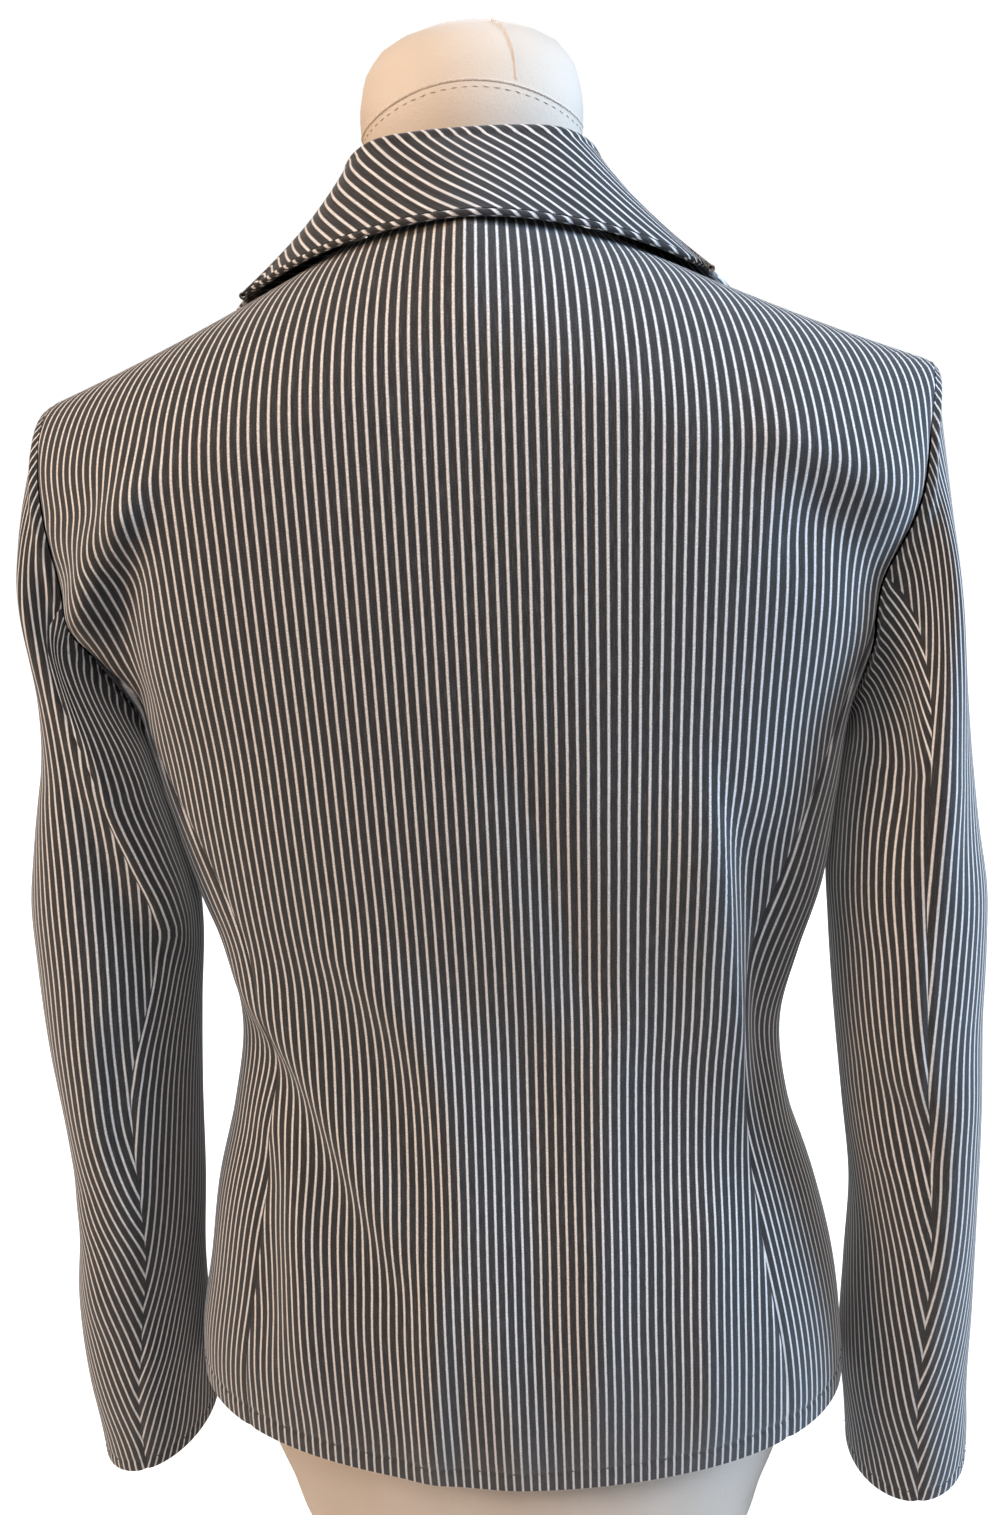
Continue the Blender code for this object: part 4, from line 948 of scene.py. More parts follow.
def sleeve_points(side, k, t):
    """The sleeve at station k, from the armhole (t 0) to the cuff (t 1)."""
    turn = station_turn(k)
    start, out = seam_frame(side, k)
    start = start + out * SEAM_GAP
    down = np.clip((t - HEAD) / (1 - HEAD), 0, 1)
    cuff = CUFFS[side].height + CUFFS[side].lean * np.cos(turn)
    tube = sleeve_ring(side, turn, mix(SLEEVE_TOP_RING, cuff, down))
    ring = sleeve_ring(side, turn, np.full_like(turn, SLEEVE_TOP_RING))
    below = sleeve_ring(side, turn, np.full_like(turn, SLEEVE_TOP_RING - TUBE_STEP))
    reach = np.linalg.norm(ring - start, axis=-1, keepdims=True)
    begin = head_direction(side, k) * reach * HEAD_TENSION
    finish = unit(below - ring) * reach * HEAD_TENSION
    cap = bend(start, begin, ring, finish, np.clip(t / HEAD, 0, 1)[..., None])
    points = np.where(t[..., None] < HEAD, cap, tube)
    calm = ease(t / HEAD * FOLD_START)[..., None]
    return points + sleeve_folds(side, turn, points) * calm

# %% The sleeves' stripes
# how far the stripes have slid towards the back seam, by height
SLANT = table(
    "height left_upper left_under right_upper right_under",
    (-80,   62, 68, 62,   69),
    (-30,   56, 52, 50,   59),
    (  4,   50, 42, 40,   52),
    ( 64,   38, 26, 26,   40),
    (113, 22.5, 17, 20, 29.3),
    (145, 11.5, 11, 17, 22.5),
    (190,    1,  5, 14, 14.5),
    (235,    0,  0, 10,  6.5),
    (350,    0,  0,  0,    0),
    (600,    0,  0,  0,    0),
)
HEAD_CROSS = 0.85           # how aslant the right under sleeve's stripes run at its top
HEAD_CROSS_SOFT = 0.030     # and how softly they turn
DRAG_FROM = 0.225           # above it the left under sleeve's stripes follow its seam
HEAD_ROLL = 0.0016          # the sleeve head stands up in a small roll beside its seam
HEAD_ROLL_AWAY = 0.0042
HEAD_ROLL_WIDTH = 0.0030
UP = np.array([0.0, 0.0, 1.0])
LEVEL = np.array([1.0, 1.0, 0.0])


def roll_head(points, flip):
    """Raise the sleeve head in a roll just beside the armhole seam."""
    away = run_of(points, 0)
    up = HEAD_ROLL * np.exp(-((away - HEAD_ROLL_AWAY) / HEAD_ROLL_WIDTH) ** 2)
    return points + grid_normals(points, flip) * up[..., None]


def carry_run(u, points, across, row, last):
    """Carry the run across the stripes from one row of points to another."""
    way = 1 if last > row else -1
    for row in range(row, last, way):
        step = points[row + way] - points[row]
        u[row + way] = u[row] + (step * (across[row] + across[row + way]) / 2).sum(-1)
    return u


def hang_up(points, u, top, flip):
    """Carry the stripes on from row top up to the armhole, straight up the slope."""
    normal = grid_normals(points, flip)
    plumb = unit(-UP + normal * (normal * UP).sum(-1, keepdims=True))
    across = np.cross(normal, plumb)
    along = (across[top] * np.gradient(points[top], axis=0)).sum()
    across = across * np.sign(along * (u[top, -1] - u[top, 0]))
    return carry_run(u, points, across, top, 0)


def sleeve_run(side, kind, points, k, t):
    """How far across the stripes each point of a sleeve piece lies."""
    # the grain is upright, so only the way round counts and not the way down
    run = run_of(points * LEVEL, 1)
    height = mix(SLEEVE_TOP_RING, CUFFS[side].height, np.clip((t - HEAD) / (1 - HEAD), 0, 1))
    if kind == "upper":
        # the upper sleeve's stripes stay upright where its seam is dragged in
        turns = dragged(side, station_turn(k), height)
        starts = [np.interp(station_turn(k[0, -1]), *row) for row in zip(turns, run)]
        run = np.array(starts)[:, None] - run
    elif side > 0:
        height = np.minimum(height, DRAG_FROM)
    slid = smooth(SLANT, SIDES[side] + "_" + kind, height)
    top = int(np.searchsorted(t[:, 0], HEAD))
    u = hang_up(points, run + slid + 0.5 * STRIPE_PITCH, top, -side)
    if kind == "under" and side < 0:
        rise = np.maximum(points[..., 2] - SLEEVE_TOP_RING, 0)
        u = u - HEAD_CROSS * rise ** 2 / (rise + HEAD_CROSS_SOFT)
    return u

# %% The sleeve pieces
SLEEVE_ROWS = 170
SLEEVE_KINDS = (("under", HINDARM, FOREARM, 64), ("upper", FOREARM, STATIONS + HINDARM, 150))


def make_sleeve(side, name):
    for kind, first, last, columns in SLEEVE_KINDS:
        s, t = grid(columns, SLEEVE_ROWS)
        k = mix(first, last, s)
        points = roll_head(sleeve_points(side, k, t), -side)
        uv = np.stack([sleeve_run(side, kind, points, k, t), -run_of(points, 0)], -1)
        points = press(points, -side, ("first_column", "last_column", "first_row"))
        points = press(points, -side, ("last_row",), HEM_DIP, CUFF_STITCH)
        piece = cloth_wall("%s_sleeve_cloth_%s" % (kind, name), points, uv, cloth, -side)
        finish_cloth(piece, "%s_sleeve_%s" % (kind, name))


for side, name in SIDES.items():
    make_sleeve(side, name)

# %% [markdown]
# ## The collar and its rolled rim
#
# The collar stands up from the neckline, folds over and lies down on the shoulders. It is
# cut on the cross, so its stripes run slantwise. A narrow roll of the same cloth edges it.

# %% The collar's line
COLLAR_CLOTH = 0.0022
COLLAR_FOLD = 0.0034        # the radius of the collar's fold
COLLAR_FOOT = 0.0010        # how far the stand begins over its seam
SEAM_BACK = 0.42            # up to here the collar's seam lies on the back
EDGE_BACK = 0.43            # and its edge
UNDER_TOP = 0.0001          # the edge stays this far under the shoulder's top
LEAF_BEND = 0.4             # where the leaf's belly lies between fold and edge
LEAF_OUT = 0.5              # and how far out it leans
COLLAR = table(
    "along seam_x seam_z fold_x fold_y fold_z edge_x edge_z lift belly",
    (-0.14,  -25, 627.5, -23.5,   15, 664, -33, 621.5,   7,  0.5),
    (    0,    0, 628.5,     0, 17.5, 664,   0,   624, 7.5,    1),
    ( 0.14,   25, 627.5,  23.5,   15, 664,  33, 621.5,   7,  0.5),
    ( 0.28, 45.5, 624.8,  42.5,  6.5, 662,  68,   614, 6.5,   -1),
    ( 0.42,   57, 621.5,  53.5,  -11, 656,  98,   603, 5.6, -3.5),
    ( 0.58,   59,   608,    56,  -33, 640, 116,   588, 5.4, -3.5),
    ( 0.75,   58,   590,  55.5,  -62, 615, 122,   568, 5.6,   -1),
    (  0.9,   54,   572,    54,  -82, 589, 121,   548, 5.6,    0),
    (    1,   51,   560,    52,  -89, 570, 118,   533, 5.6,    0),
)
STAND_STEPS = 8
TURN_STEPS = 9
LEAF_STEPS = 22
NECK_AXIS = np.array([0.0, -0.030, 0.0])
CHEST = np.array([0.0, -0.02, 0.50])


def seen_point(x, z, side):
    """The point of the body's surface seen at a place from behind or in front."""
    return body_point(ring_angle(x, z, side), z)


def collar_line(along, side):
    """The collar's line across: up its stand, over the fold, and down its leaf."""
    size = {column: float(smooth(COLLAR, column, along, by="along")) for column in COLLAR}
    seam = seen_point(side * size["seam_x"], size["seam_z"], 1 if along < SEAM_BACK else -1)
    fold = np.array([side * size["fold_x"], size["fold_y"], size["fold_z"]])
    out = unit((fold - NECK_AXIS) * LEVEL)
    foot = seam - out * COLLAR_CLOTH + UP * COLLAR_FOOT
    edge_x = side * size["edge_x"]
    edge_z = min(size["edge_z"], float(shoulder_top(edge_x)) - UNDER_TOP)
    edge = seen_point(edge_x, edge_z, 1 if along < EDGE_BACK else -1)
    edge = edge + unit(edge - CHEST) * size["lift"]
    inside = fold - (out + UP) * COLLAR_FOLD
    outside = fold + (out - UP) * COLLAR_FOLD
    line = [mix(foot, inside, part) for part in np.linspace(0, 1, STAND_STEPS)]
    for turn in np.linspace(np.pi, 0, TURN_STEPS)[1:]:
        line.append(fold - UP * COLLAR_FOLD
                    + (out * np.cos(turn) + UP * np.sin(turn)) * COLLAR_FOLD)
    belly = mix(outside, edge, LEAF_BEND) + (UP + out * LEAF_OUT) * size["belly"]
    for part in np.linspace(0, 1, LEAF_STEPS + 1)[1:]:
        line.append(mix(mix(outside, belly, part), mix(belly, edge, part), part))
    return np.array(line)

# %% The collar's leaf and its stripes
COLLAR_COLUMNS = 170
COLLAR_LEAF = STAND_STEPS + TURN_STEPS + LEAF_STEPS // 2 - 1     # the leaf's middle row
# how steeply the stripes cross the collar's length, from its right end to its left one
COLLAR_LEAN = table("place angle", (-1, 24), (-0.45, 30), (-0.2, 36), (0, 40), (0.2, 44),
    (0.45, 57), (1, 66))
MIDDLE_COLUMNS = 16
MIDDLE_PASSES = 60


def smooth_middle(points):
    """Round off the collar where its two mirrored halves meet."""
    middle = points.shape[1] // 2
    low, high = middle - MIDDLE_COLUMNS, middle + MIDDLE_COLUMNS
    for _ in range(MIDDLE_PASSES):
        points[:, low:high] = (points[:, low - 1:high - 1] + 2 * points[:, low:high]
                               + points[:, low + 1:high + 1]) / 4
    return points


def collar_run(points, places):
    """How far across the stripes each point lies, counted from the leaf's middle row."""
    lean = np.radians(smooth(COLLAR_LEAN, "angle", places, by="place"))[:, None]
    sideways = unit(np.gradient(points, axis=1))
    down = np.cross(grid_normals(points), sideways)
    down = unit(down * np.sign((down * np.gradient(points, axis=0)).sum(-1, keepdims=True)))
    across = sideways * np.sin(lean) + down * np.cos(lean)
    u = np.zeros(points.shape[:2])
    here = COLLAR_LEAF
    steps = np.diff(points[here], axis=0) * (across[here, 1:] + across[here, :-1]) / 2
    u[here, 1:] = np.cumsum(steps.sum(-1))
    u = carry_run(u, points, across, here, 0)
    return carry_run(u, points, across, here, len(points) - 1)


def make_collar():
    places = np.linspace(-1, 1, COLLAR_COLUMNS + 1)
    points = smooth_middle(np.stack([collar_line(abs(place), 1 if place > 0 else -1)
                                     for place in places], 1))
    u = collar_run(points, places)
    uv = np.stack([u, run_of(points, 1)], -1)
    piece = cloth_wall("collar_cloth", points, uv, cloth, 1, DOUBLE_SHELL)
    finish_cloth(piece, "collar")
    return points, u[-1]


collar_points, collar_edge_run = make_collar()

# %% The collar's rolled rim
ROLL_RADIUS = 0.0014
ROLL_SIDES = 14
ROLL_SLANT = 0.7            # how fast the rim's stripes wind round it


def make_roll(collar, edge_run):
    """A rolled rim round the collar's leaf, with its cloth on the cross."""
    up = grid_normals(collar)[-1]
    past = unit(collar[-1] - collar[-2])
    middle = collar[-1] - up * COLLAR_CLOTH * 0.5 + past * ROLL_RADIUS
    turns = np.linspace(0, 2 * np.pi, ROLL_SIDES + 1)
    around = (past[:, None] * np.cos(turns)[:, None] + up[:, None] * np.sin(turns)[:, None])
    rings = middle[:, None] + ROLL_RADIUS * around + LIFT
    u = edge_run[:, None] - turns * ROLL_RADIUS * ROLL_SLANT
    uv = np.stack([u, turns * ROLL_RADIUS + 0 * u], -1)
    piece = add_mesh("collar_rim", rings.reshape(-1, 3), ring_faces(rings, False, True),
                     cloth, uv)
    hand_over(piece, "collar_roll")


make_roll(collar_points, collar_edge_run)

# %% [markdown]
# ## The lapels
#
# A lapel is the front's own cloth turned back along the roll line; it lies on the front and
# ends in a notch under the collar. The turned cloth shows its stripes along the free edge.

# %% The lapels
NOTCH = 0.014
NOTCH_FROM = 0.5            # how far across the lapel it begins
LAPEL_BELLY = 0.0022        # how far the rolled lapel stands off the front
LAPEL_SWELL = (0.08, 0.98)  # where that swell begins and ends across it, in half turns
LAPEL_ROLL = (0.376, 0.5565)
LAPEL_COLUMNS = 36
LAPEL_ROWS = 100
GORGE_GAP = 0.0022          # between the lapel and the collar's end
LAPEL_EDGE = table("along x height", (0, 6, 378), (0.2, 34, 402), (0.45, 64, 440),
    (0.75, 94, 486), (1, 112, 518))


def make_lapel(side, name):
    s, t = grid(LAPEL_COLUMNS, LAPEL_ROWS)
    roll_z = mix(*LAPEL_ROLL, t)
    edge_x, edge_z = (smooth(LAPEL_EDGE, column, t, by="along") for column in ("x", "height"))
    x, z = mix(smooth(FRONT_EDGE, "x", roll_z), edge_x, s), mix(roll_z, edge_z, s)
    end = {column: values[-1] for column, values in COLLAR.items()}
    beside = mix(end["seam_z"], end["edge_z"],
                 (x - end["seam_x"]) / (end["edge_x"] - end["seam_x"]))
    gorge = beside - GORGE_GAP - NOTCH * ease((s - NOTCH_FROM) / (1 - NOTCH_FROM))
    z = mix(z, gorge, t ** 3)
    angle = side * front_angle(side, x, z)
    swell = LAPEL_BELLY * np.sin(np.pi * np.clip(mix(*LAPEL_SWELL, s), 0, 1))
    off = SOLID_CLOTH + LAYER_GAP + swell
    points = body_point(angle, z, lap_depth(side, angle, z) - off)
    away = run_of(points, 1)
    uv = np.stack([away[:, -1:] - away, run_of(points, 0)], -1)
    piece = cloth_wall("lapel_cloth_" + name, points, uv, cloth, side, DOUBLE_SHELL)
    finish_cloth(piece, "lapel_" + name)


for side, name in SIDES.items():
    make_lapel(side, name)

# %% [markdown]
# ## The dress form
#
# A stand-in figure has no arms or head: a smooth body, a neck and a rounded cap, covered in
# tight cream jersey. Rings through its sizes make it; a fine noise makes the knit.

# %% The dress form
FORM = table(
    "height half_width back front middle",
    (-130,  126, 73, 72,   0),
    (-124,  131, 77, 76,   0),
    ( -70,  150, 81, 81,   0),
    (   0,  166, 82, 84,   0),
    (  60,  165, 84, 86,   0),
    ( 130,  148, 72, 78,   0),
    ( 190,  128, 58, 71,   0),
    ( 240,  121, 53, 69,   0),
    ( 300,  131, 58, 83,   0),
    ( 370,  147, 68, 97,   0),
    ( 430,  156, 72, 95,   0),
    ( 490,  160, 70, 83,   0),
    ( 530,  158, 65, 72,   0),
    ( 556,  162, 54, 52,   0),
    ( 572,  150, 47, 42,   0),
    ( 586,  126, 43, 36,   0),
    ( 598,   98, 41, 33,  -1),
    ( 609,   70, 40, 34,  -7),
    ( 619,   53, 40, 44, -18),
    ( 634, 49.2, 40, 47, -27),
    ( 655, 48.5, 40, 48, -30),
    ( 684,   49, 42, 49, -33),
    ( 697,   44, 38, 44, -35),
    ( 706,   33, 28, 33, -36),
    ( 711,   18, 15, 18, -36),
)
FORM_COLUMNS = 96
FORM_ROWS = 190


def jersey():
    paint = Paint("form_jersey", Roughness=0.82, Sheen_Weight=0.25, Sheen_Roughness=0.5,
                  Specular_IOR_Level=0.25)
    place = paint.object_place()
    fine = paint.noise(place, 900.0)
    tone = paint.blend(paint.noise(place, 14.0).step(0.35, 0.65), (0.69, 0.57, 0.46, 1),
                       (0.73, 0.62, 0.52, 1))
    paint.colour(paint.blend(fine.step(0.45, 0.75) * 0.25, tone, (0.66, 0.55, 0.45, 1)))
    paint.relief(fine, 0.0003, 0.5)
    return paint.material


def form_point(turn, z):
    across, middle = smooth(FORM, "half_width", z), smooth(FORM, "middle", z)
    deep = np.where(np.cos(turn) > 0, smooth(FORM, "back", z), smooth(FORM, "front", z))
    return np.stack([across * np.sin(turn), middle + deep * np.cos(turn),
                     z + HEM_HEIGHT + 0 * turn], -1)


def make_form(material):
    turns = np.linspace(0, 2 * np.pi, FORM_COLUMNS, endpoint=False)
    z = np.linspace(FORM["height"][0], FORM["height"][-1], FORM_ROWS + 1)[:, None]
    rings = form_point(turns, z)
    piece = add_mesh("form_body", rings.reshape(-1, 3), ring_faces(rings, inward=True), material)
    hand_over(piece, "dress_form")


form_jersey = jersey()
make_form(form_jersey)

# %% [markdown]
# ## Buttons
#
# Three four-hole buttons close the front. Each is turned from a profile, and its holes are
# cut through.

# %% Buttons
BUTTON_HEIGHTS = (0.310, 0.232, 0.154)
# radius and height of each ring, in millimetres
BUTTON_PROFILE = ((0.0, 0.4), (8.0, 0.4), (9.2, 0.8), (9.9, 1.6), (9.9, 2.6), (9.5, 3.4),
                  (8.8, 3.7), (8.0, 3.6), (7.2, 3.0), (6.4, 2.7), (0.0, 2.6))
BUTTON_SIDES = 48
POLE = 1e-5                 # the radius of a ring that lies on the axis
HOLE_PROFILE = ((1.0, -2.0), (1.0, 6.0))
HOLE_SIDES = 12
HOLE_AWAY = 0.0019          # from the button's middle, sideways and up


def button_plastic():
    paint = Paint("button_plastic", Roughness=0.38, Coat_Weight=0.3)
    swirl = paint.noise(paint.object_place(), 160.0, 3.0)
    paint.colour(paint.blend(swirl.step(0.35, 0.7), (0.016, 0.015, 0.016, 1),
                             (0.050, 0.043, 0.040, 1)))
    return paint.material


def turned(name, profile, sides, place, across, up, out, material):
    """A closed solid turned round an axis, with its first and last ring shut."""
    turns = np.linspace(0, 2 * np.pi, sides, endpoint=False)
    around = across * np.cos(turns)[:, None] + up * np.sin(turns)[:, None]
    rings = np.array([place + out * height + max(radius, POLE) * around
                      for radius, height in np.array(profile) / 1000])
    return add_mesh(name, rings.reshape(-1, 3), ring_faces(rings), material)


def button_frame(z):
    """The seat of a button on the front, and its ways across, up and out."""
    seat = body_point(np.array(np.pi), np.array(z))
    up = unit(body_point(np.array(np.pi), np.array(z + STEP)) - seat)
    across = np.array([1.0, 0.0, 0.0])
    return seat + LIFT, across, up, unit(np.cross(across, up))


def apply_modifiers(thing):
    """Make what the modifiers show the object's own plain mesh."""
    made = bpy.data.meshes.new_from_object(
        thing.evaluated_get(bpy.context.evaluated_depsgraph_get()))
    thing.modifiers.clear()
    thing.data = made
    made.name = thing.name


def make_button(number, z, material):
    seat, *ways = button_frame(z)
    button = turned("turned_button_%d" % number, BUTTON_PROFILE, BUTTON_SIDES, seat, *ways,
                    material)
    for x, y in ((-1, -1), (-1, 1), (1, -1), (1, 1)):
        middle = seat + ways[0] * x * HOLE_AWAY + ways[1] * y * HOLE_AWAY
        drill = turned("drill", HOLE_PROFILE, HOLE_SIDES, middle, *ways, material)
        cut = button.modifiers.new("hole", "BOOLEAN")
        cut.object = drill
        cut.solver = "EXACT"
        cut.operation = "DIFFERENCE"
        apply_modifiers(button)
        bpy.data.objects.remove(drill, do_unlink=True)
    hand_over(button, "button_%d" % number)


plastic = button_plastic()
for number, z in enumerate(BUTTON_HEIGHTS, 1):
    make_button(number, z, plastic)

# %% [markdown]
# ## Stitches
#
# A row of stitches is one small bead of thread, repeated at an even spacing. That is a job
# for Geometry Nodes: the path is a bare line of edges, and the tree spaces the beads along
# it, lays them on the cloth and wobbles each a little, as hand and machine both do.

# %% A tree that sews along a line
SEED = 7


def make_stitcher():
    tree = bpy.data.node_groups.new("stitcher", "GeometryNodeTree")
    for title, way, kind in (
            ("Path", "INPUT", "Geometry"), ("Spacing", "INPUT", "Float"),
            ("Length", "INPUT", "Float"), ("Width", "INPUT", "Float"),
            ("Turn", "INPUT", "Float"), ("Wobble", "INPUT", "Float"),
            ("Thread", "INPUT", "Material"), ("Stitches", "OUTPUT", "Geometry")):
        tree.interface.new_socket(title, in_out=way, socket_type="NodeSocket" + kind)

    def add(kind, inputs, **settings):
        node = tree.nodes.new(kind)
        for name, value in settings.items():
            setattr(node, name, value)
        for key, value in inputs.items():
            if isinstance(value, bpy.types.NodeSocket):
                tree.links.new(value, node.inputs[key])
            else:
                node.inputs[key].default_value = value
        return node.outputs

    given = add("NodeGroupInput", {})
    line = add("GeometryNodeMeshToCurve", {"Mesh": given["Path"]})
    line = add("GeometryNodeResampleCurve", {"Curve": line[0], "Length": given["Spacing"]},
               mode="LENGTH")
    facing = add("GeometryNodeInputNamedAttribute", {"Name": "facing"},
                 data_type="FLOAT_VECTOR")
    along = add("GeometryNodeInputTangent", {})
    lie = add("FunctionNodeAlignRotationToVector", {"Vector": facing["Attribute"]}, axis="Z")
    lie = add("FunctionNodeAlignRotationToVector", {"Rotation": lie[0], "Vector": along[0]},
              axis="X", pivot_axis="Z")
    chance = add("FunctionNodeRandomValue", {2: -1.0, 3: 1.0, "Seed": SEED})
    angle = add("ShaderNodeMath", {0: chance[1], 1: given["Wobble"], 2: given["Turn"]},
                operation="MULTIPLY_ADD")
    swing = add("FunctionNodeAxisAngleToRotation", {"Axis": (0, 0, 1), "Angle": angle[0]})
    lie = add("FunctionNodeRotateRotation", {"Rotation": lie[0], "Rotate By": swing[0]},
              rotation_space="LOCAL")
    bead = add("GeometryNodeMeshUVSphere", {"Segments": 8, "Rings": 6, "Radius": 0.5})
    size = add("ShaderNodeCombineXYZ", {0: given["Length"], 1: given["Width"],
                                        2: given["Width"]})
    row = add("GeometryNodeInstanceOnPoints", {"Points": line[0], "Instance": bead[0],
                                               "Rotation": lie[0], "Scale": size[0]})
    row = add("GeometryNodeRealizeInstances", {"Geometry": row[0]})
    row = add("GeometryNodeSetShadeSmooth", {"Geometry": row[0]})
    row = add("GeometryNodeSetMaterial", {"Geometry": row[0], "Material": given["Thread"]})
    add("NodeGroupOutput", {"Stitches": row[0]})
    return tree


stitcher = make_stitcher()

# %% A row of stitches


def sew(name, path, facing, thread, slot, closed=False, **values):
    """A row of stitches along a path whose points face out of the cloth."""
    count = len(path)
    edges = [(i, i + 1) for i in range(count - 1)] + ([(count - 1, 0)] if closed else [])
    line = bpy.data.meshes.new(name)
    line.from_pydata(path.tolist(), edges, [])
    out = line.attributes.new("facing", "FLOAT_VECTOR", "POINT")
    out.data.foreach_set("vector", facing.astype(np.float32).ravel())
    row = bpy.data.objects.new(name, line)
    bpy.context.scene.collection.objects.link(row)
    nodes = row.modifiers.new("stitches", "NODES")
    nodes.node_group = stitcher
    values["Thread"] = thread
    for item in stitcher.interface.items_tree:
        if item.in_out == "INPUT" and item.name in values:
            nodes[item.identifier] = values[item.name]
    apply_modifiers(row)
    hand_over(row)


def thread_finish(name, dark, pale):
    paint = Paint(name, Roughness=0.6, Sheen_Weight=0.3)
    twist = paint.noise(paint.object_place(), 2200.0)
    paint.colour(paint.blend(twist.step(0.4, 0.6), dark, pale))
    paint.relief(twist, 0.0001, 0.5)
    return paint.material


dark_thread = thread_finish("dark_thread", (0.012, 0.012, 0.014, 1), (0.050, 0.048, 0.050, 1))
cream_thread = thread_finish("cream_thread", (0.50, 0.41, 0.32, 1), (0.70, 0.60, 0.49, 1))

# %% [markdown]
# ## Sewn lines
#
# The turned-up hem and cuffs are held by small dark stitches. The form's cap is sewn on with
# a rope-like seam. Each buttonhole is edged with close stitches that lie across its line.

# %% Hem and cuff stitches
HEM_FROM, HEM_TO = np.radians([-179.0, 157.0])    # it stops where one front goes under
HEM_POINTS = 400
CUFF_POINTS = 120
HAND_STITCH = {"Length": 0.0018, "Width": 0.00055, "Wobble": 0.25}


def path_facing(path, middle):
    """Out of a ring's middle, level."""
    return unit((path - middle) * LEVEL)


def sew_hem():
    angle = np.linspace(HEM_FROM, HEM_TO, HEM_POINTS)
    path = body_point(angle, hem_height(angle) + HEM_STITCH) + LIFT
    sew("hem_stitches", path, path_facing(path, np.zeros(3)), dark_thread, "pinstripe_cloth",
        Spacing=0.0062, **HAND_STITCH)


def sew_cuff(side, name):
    k = np.linspace(0, STATIONS, CUFF_POINTS, endpoint=False)
    length = SLEEVE_TOP_RING - CUFFS[side].height
    down = (length - CUFF_STITCH) / length
    path = sleeve_points(side, k, np.full(k.shape, mix(HEAD, 1.0, down))) + LIFT
    sew("cuff_stitches_" + name, path, path_facing(path, path.mean(0)), dark_thread,
        "pinstripe_cloth", closed=True, Spacing=0.0060, **HAND_STITCH)


sew_hem()
for side, name in SIDES.items():
    sew_cuff(side, name)

# %% The form's cap seam
CAP_SEAM = 0.6825           # its height behind
CAP_SEAM_DROP = 0.014       # and how far it falls to the sides
CAP_STITCH_DROP = 0.0026    # the stitches' row under it
CAP_TOP = 0.7085
CAP_JOIN = -0.45            # the angle of the upright seam over it
NECK_MIDDLE = np.array([0.0, -0.033, 0.0])
ROPE = {"thread": form_jersey, "slot": "form_cover", "Spacing": 0.0016}


def sew_cap():
    turn = np.linspace(0, 2 * np.pi, 160, endpoint=False)
    drop = CAP_SEAM_DROP * np.sin(turn) ** 2
    path = form_point(turn, CAP_SEAM - drop)
    ways = path_facing(path, NECK_MIDDLE)
    sew("cap_seam", path, ways, closed=True, Length=0.0030, Width=0.0009, Turn=0.35,
        Wobble=0.05, **ROPE)
    sew("cap_stitches", form_point(turn, CAP_SEAM - CAP_STITCH_DROP - drop), ways,
        cream_thread, "form_cover", closed=True, Spacing=0.0046, Length=0.0028, Width=0.0006,
        Wobble=0.1)
    z = np.linspace(CAP_SEAM, CAP_TOP, 24)
    upright = form_point(np.full(z.shape, CAP_JOIN), z)
    sew("cap_join", upright, path_facing(upright, NECK_MIDDLE), Length=0.0028, Width=0.0008,
        Wobble=0.05, **ROPE)


sew_cap()

# %% Buttonholes and button thread
HOLE_ENDS = (0.003, -0.019)
HOLE_HALF = 0.0011
THREAD_HEIGHT = 0.0031
THREAD_HALF = 0.0011


def sew_buttonhole(number, z):
    turn = np.linspace(0, 2 * np.pi, 60, endpoint=False)
    middle, reach = (HOLE_ENDS[0] + HOLE_ENDS[1]) / 2, (HOLE_ENDS[0] - HOLE_ENDS[1]) / 2
    path = seen_point(middle + reach * np.cos(turn), z + HOLE_HALF * np.sin(turn), -1) + LIFT
    facing = np.repeat(button_frame(z)[3][None], len(path), 0)
    sew("buttonhole_%d" % number, path, facing, dark_thread, "pinstripe_cloth", closed=True,
        Spacing=0.0006, Length=0.0021, Width=0.0005, Turn=np.pi / 2, Wobble=0.08)


def sew_button(number, z):
    seat, across, up, out = button_frame(z)
    for row, way in (("lower", -1), ("upper", 1)):
        path = np.array([seat + across * x + up * way * HOLE_AWAY + out * THREAD_HEIGHT
                         for x in (-THREAD_HALF, 0.0, THREAD_HALF)])
        sew("button_thread_%s_%d" % (row, number), path, np.repeat(out[None], 3, 0),
            dark_thread, "button", Spacing=0.0010, Length=0.0020, Width=0.0006, Wobble=0.03)


for number, z in enumerate(BUTTON_HEIGHTS, 1):
    sew_buttonhole(number, z)
    sew_button(number, z)

# %% [markdown]
# ## Floor, light and camera
#
# A plain white room: a white floor and a white world. One wide warm light stands at the
# picture's left, one cool light at its right, both above the camera's side.

# %% Camera
PICTURE_WIDTH, PICTURE_HEIGHT = 997, 1515
LENS_PIXELS = 1200          # the lens's length in the picture's pixels
CENTRE_X, CENTRE_Y = 458, 792
CAMERA_PLACE = np.array([-0.032, 0.576, 0.702])
YAW, PITCH, ROLL = np.radians([5.08, 19.63, -3.03])
FILM_HEIGHT = 36.0


def set_up(thing, x_way, y_way, z_way, place):
    """Put a camera or a light at its place, turned to three ways."""
    rows = np.eye(4)
    rows[:3] = np.stack([x_way, y_way, z_way, place], 1)
    thing.matrix_world = Matrix(rows.tolist())
    bpy.context.scene.collection.objects.link(thing)


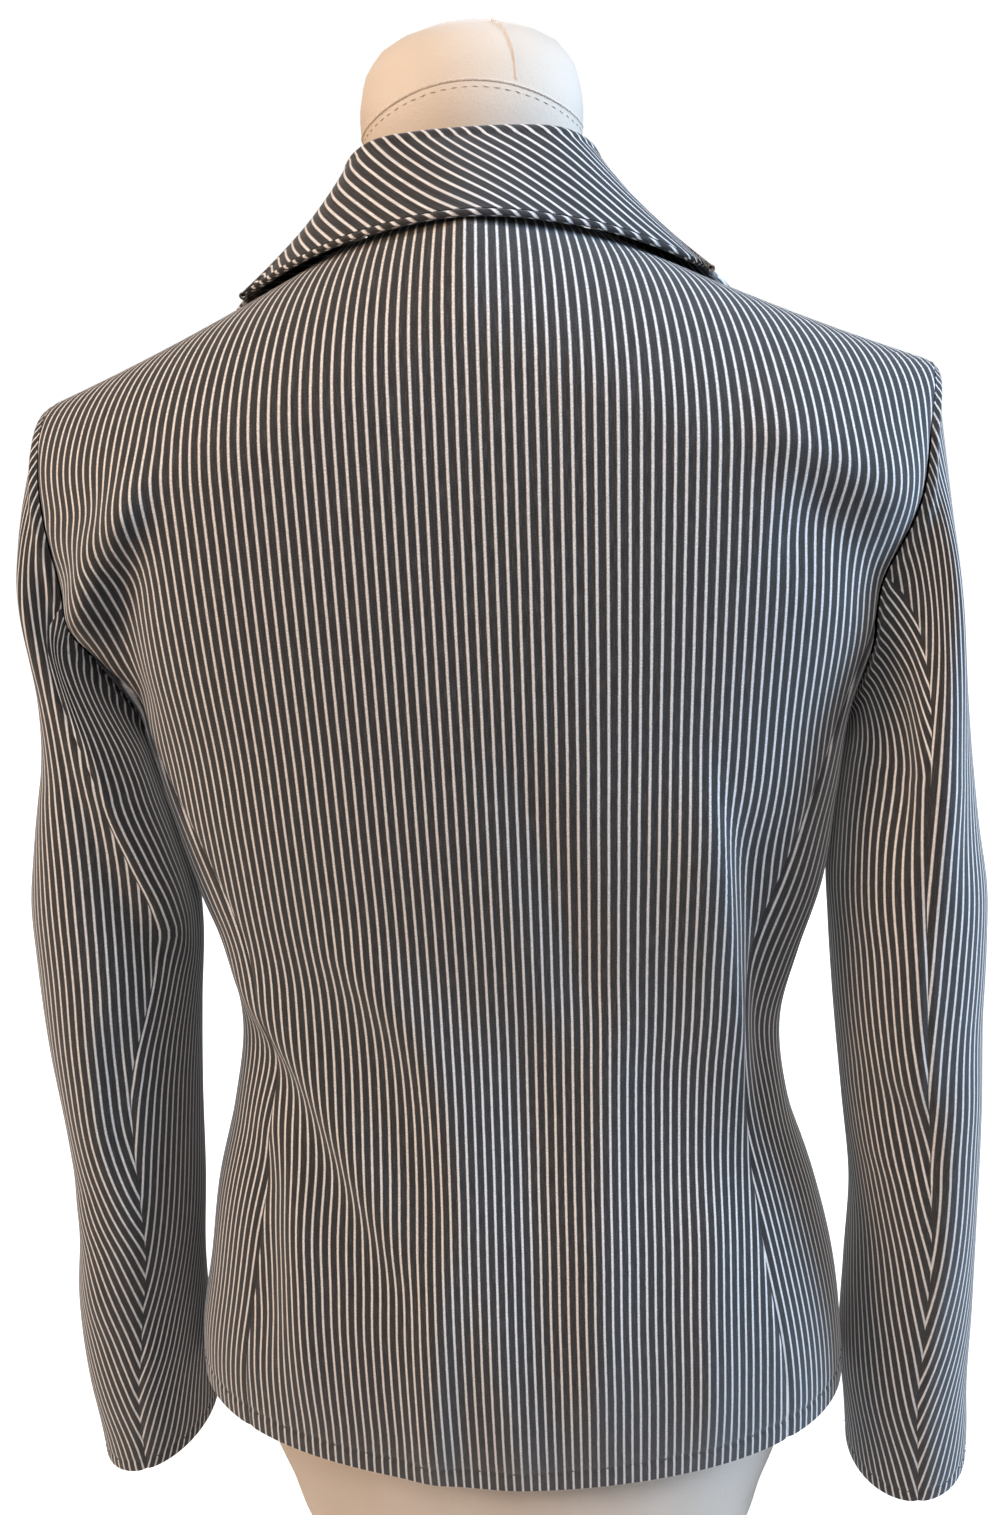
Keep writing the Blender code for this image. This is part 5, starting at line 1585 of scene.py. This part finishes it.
def make_camera():
    ahead = np.array([np.sin(YAW), -np.cos(YAW), 0.0])
    right = np.array([-np.cos(YAW), -np.sin(YAW), 0.0])
    view = np.cos(PITCH) * ahead - np.sin(PITCH) * UP
    above = np.sin(PITCH) * ahead + np.cos(PITCH) * UP
    lens = bpy.data.cameras.new("camera")
    lens.sensor_fit = "VERTICAL"
    lens.sensor_height = FILM_HEIGHT
    lens.lens = LENS_PIXELS / PICTURE_HEIGHT * FILM_HEIGHT
    lens.shift_x = (PICTURE_WIDTH / 2 - CENTRE_X) / PICTURE_HEIGHT
    lens.shift_y = (CENTRE_Y - PICTURE_HEIGHT / 2) / PICTURE_HEIGHT
    lens.clip_start = 0.01
    camera = bpy.data.objects.new("camera", lens)
    set_up(camera, np.cos(ROLL) * right + np.sin(ROLL) * above,
           -np.sin(ROLL) * right + np.cos(ROLL) * above, -view, CAMERA_PLACE)
    bpy.context.scene.camera = camera


make_camera()

# %% Floor
FLOOR_HALF = 12.0


def make_floor():
    paint = Paint("floor_white", Roughness=0.9, Specular_IOR_Level=0.1)
    grain = paint.noise(paint.object_place(), 30.0)
    paint.colour(paint.blend(grain, (0.42, 0.42, 0.42, 1), (0.46, 0.46, 0.46, 1)))
    # the camera sees the floor as white as the room, which still isn't lit by it
    seen = paint.node("ShaderNodeLightPath", {}, {})
    paint.plug(paint.shader.inputs["Emission Color"],
               paint.blend(seen, (0, 0, 0, 1), (1, 1, 1, 1)))
    paint.shader.inputs["Emission Strength"].default_value = 1.0
    corners = FLOOR_HALF * np.array([(-1, -1, 0), (1, -1, 0), (1, 1, 0), (-1, 1, 0)], float)
    add_mesh("floor", corners, [(0, 1, 2, 3)], paint.material)


make_floor()

# %% Lights
ROOM_LIGHT = 0.08           # the white room's own light; the camera sees it as pure white
LIGHT_AIM = np.array([0.0, 0.0, 0.5])
# name, place, size, watts and colour
LIGHTS = (("warm_left", (1.9, 1.0, 1.3), 0.9, 35, (1.0, 0.72, 0.50)),
          ("cool_right", (-2.0, 0.2, 1.2), 0.8, 66, (0.50, 0.72, 1.0)),
          ("top", (0.0, 1.15, 2.35), 0.9, 28, (1.0, 0.96, 0.93)),
          ("front_fill", (0.4, -2.0, 1.4), 1.6, 16, (1.0, 0.98, 0.96)))


def add_light(name, place, size, watts, colour):
    lamp = bpy.data.lights.new(name, "AREA")
    lamp.shape = "DISK"
    lamp.size = size
    lamp.energy = watts
    lamp.color = colour
    back_way = unit(np.array(place) - LIGHT_AIM)
    x_way = unit(np.cross(UP, back_way))
    set_up(bpy.data.objects.new(name, lamp), x_way, np.cross(back_way, x_way), back_way, place)


def make_room():
    world = bpy.data.worlds.new("white_room")
    world.use_nodes = True
    nodes, links = world.node_tree.nodes, world.node_tree.links
    sky, path, seen = (nodes["Background"], nodes.new("ShaderNodeLightPath"),
                       nodes.new("ShaderNodeMapRange"))
    sky.inputs["Color"].default_value = (1.0, 1.0, 1.0, 1.0)
    seen.inputs["To Min"].default_value = ROOM_LIGHT
    seen.inputs["To Max"].default_value = 1.0
    links.new(path.outputs["Is Camera Ray"], seen.inputs["Value"])
    links.new(seen.outputs["Result"], sky.inputs["Strength"])
    bpy.context.scene.world = world


make_room()
for light in LIGHTS:
    add_light(*light)
bpy.context.scene.view_settings.view_transform = "Standard"
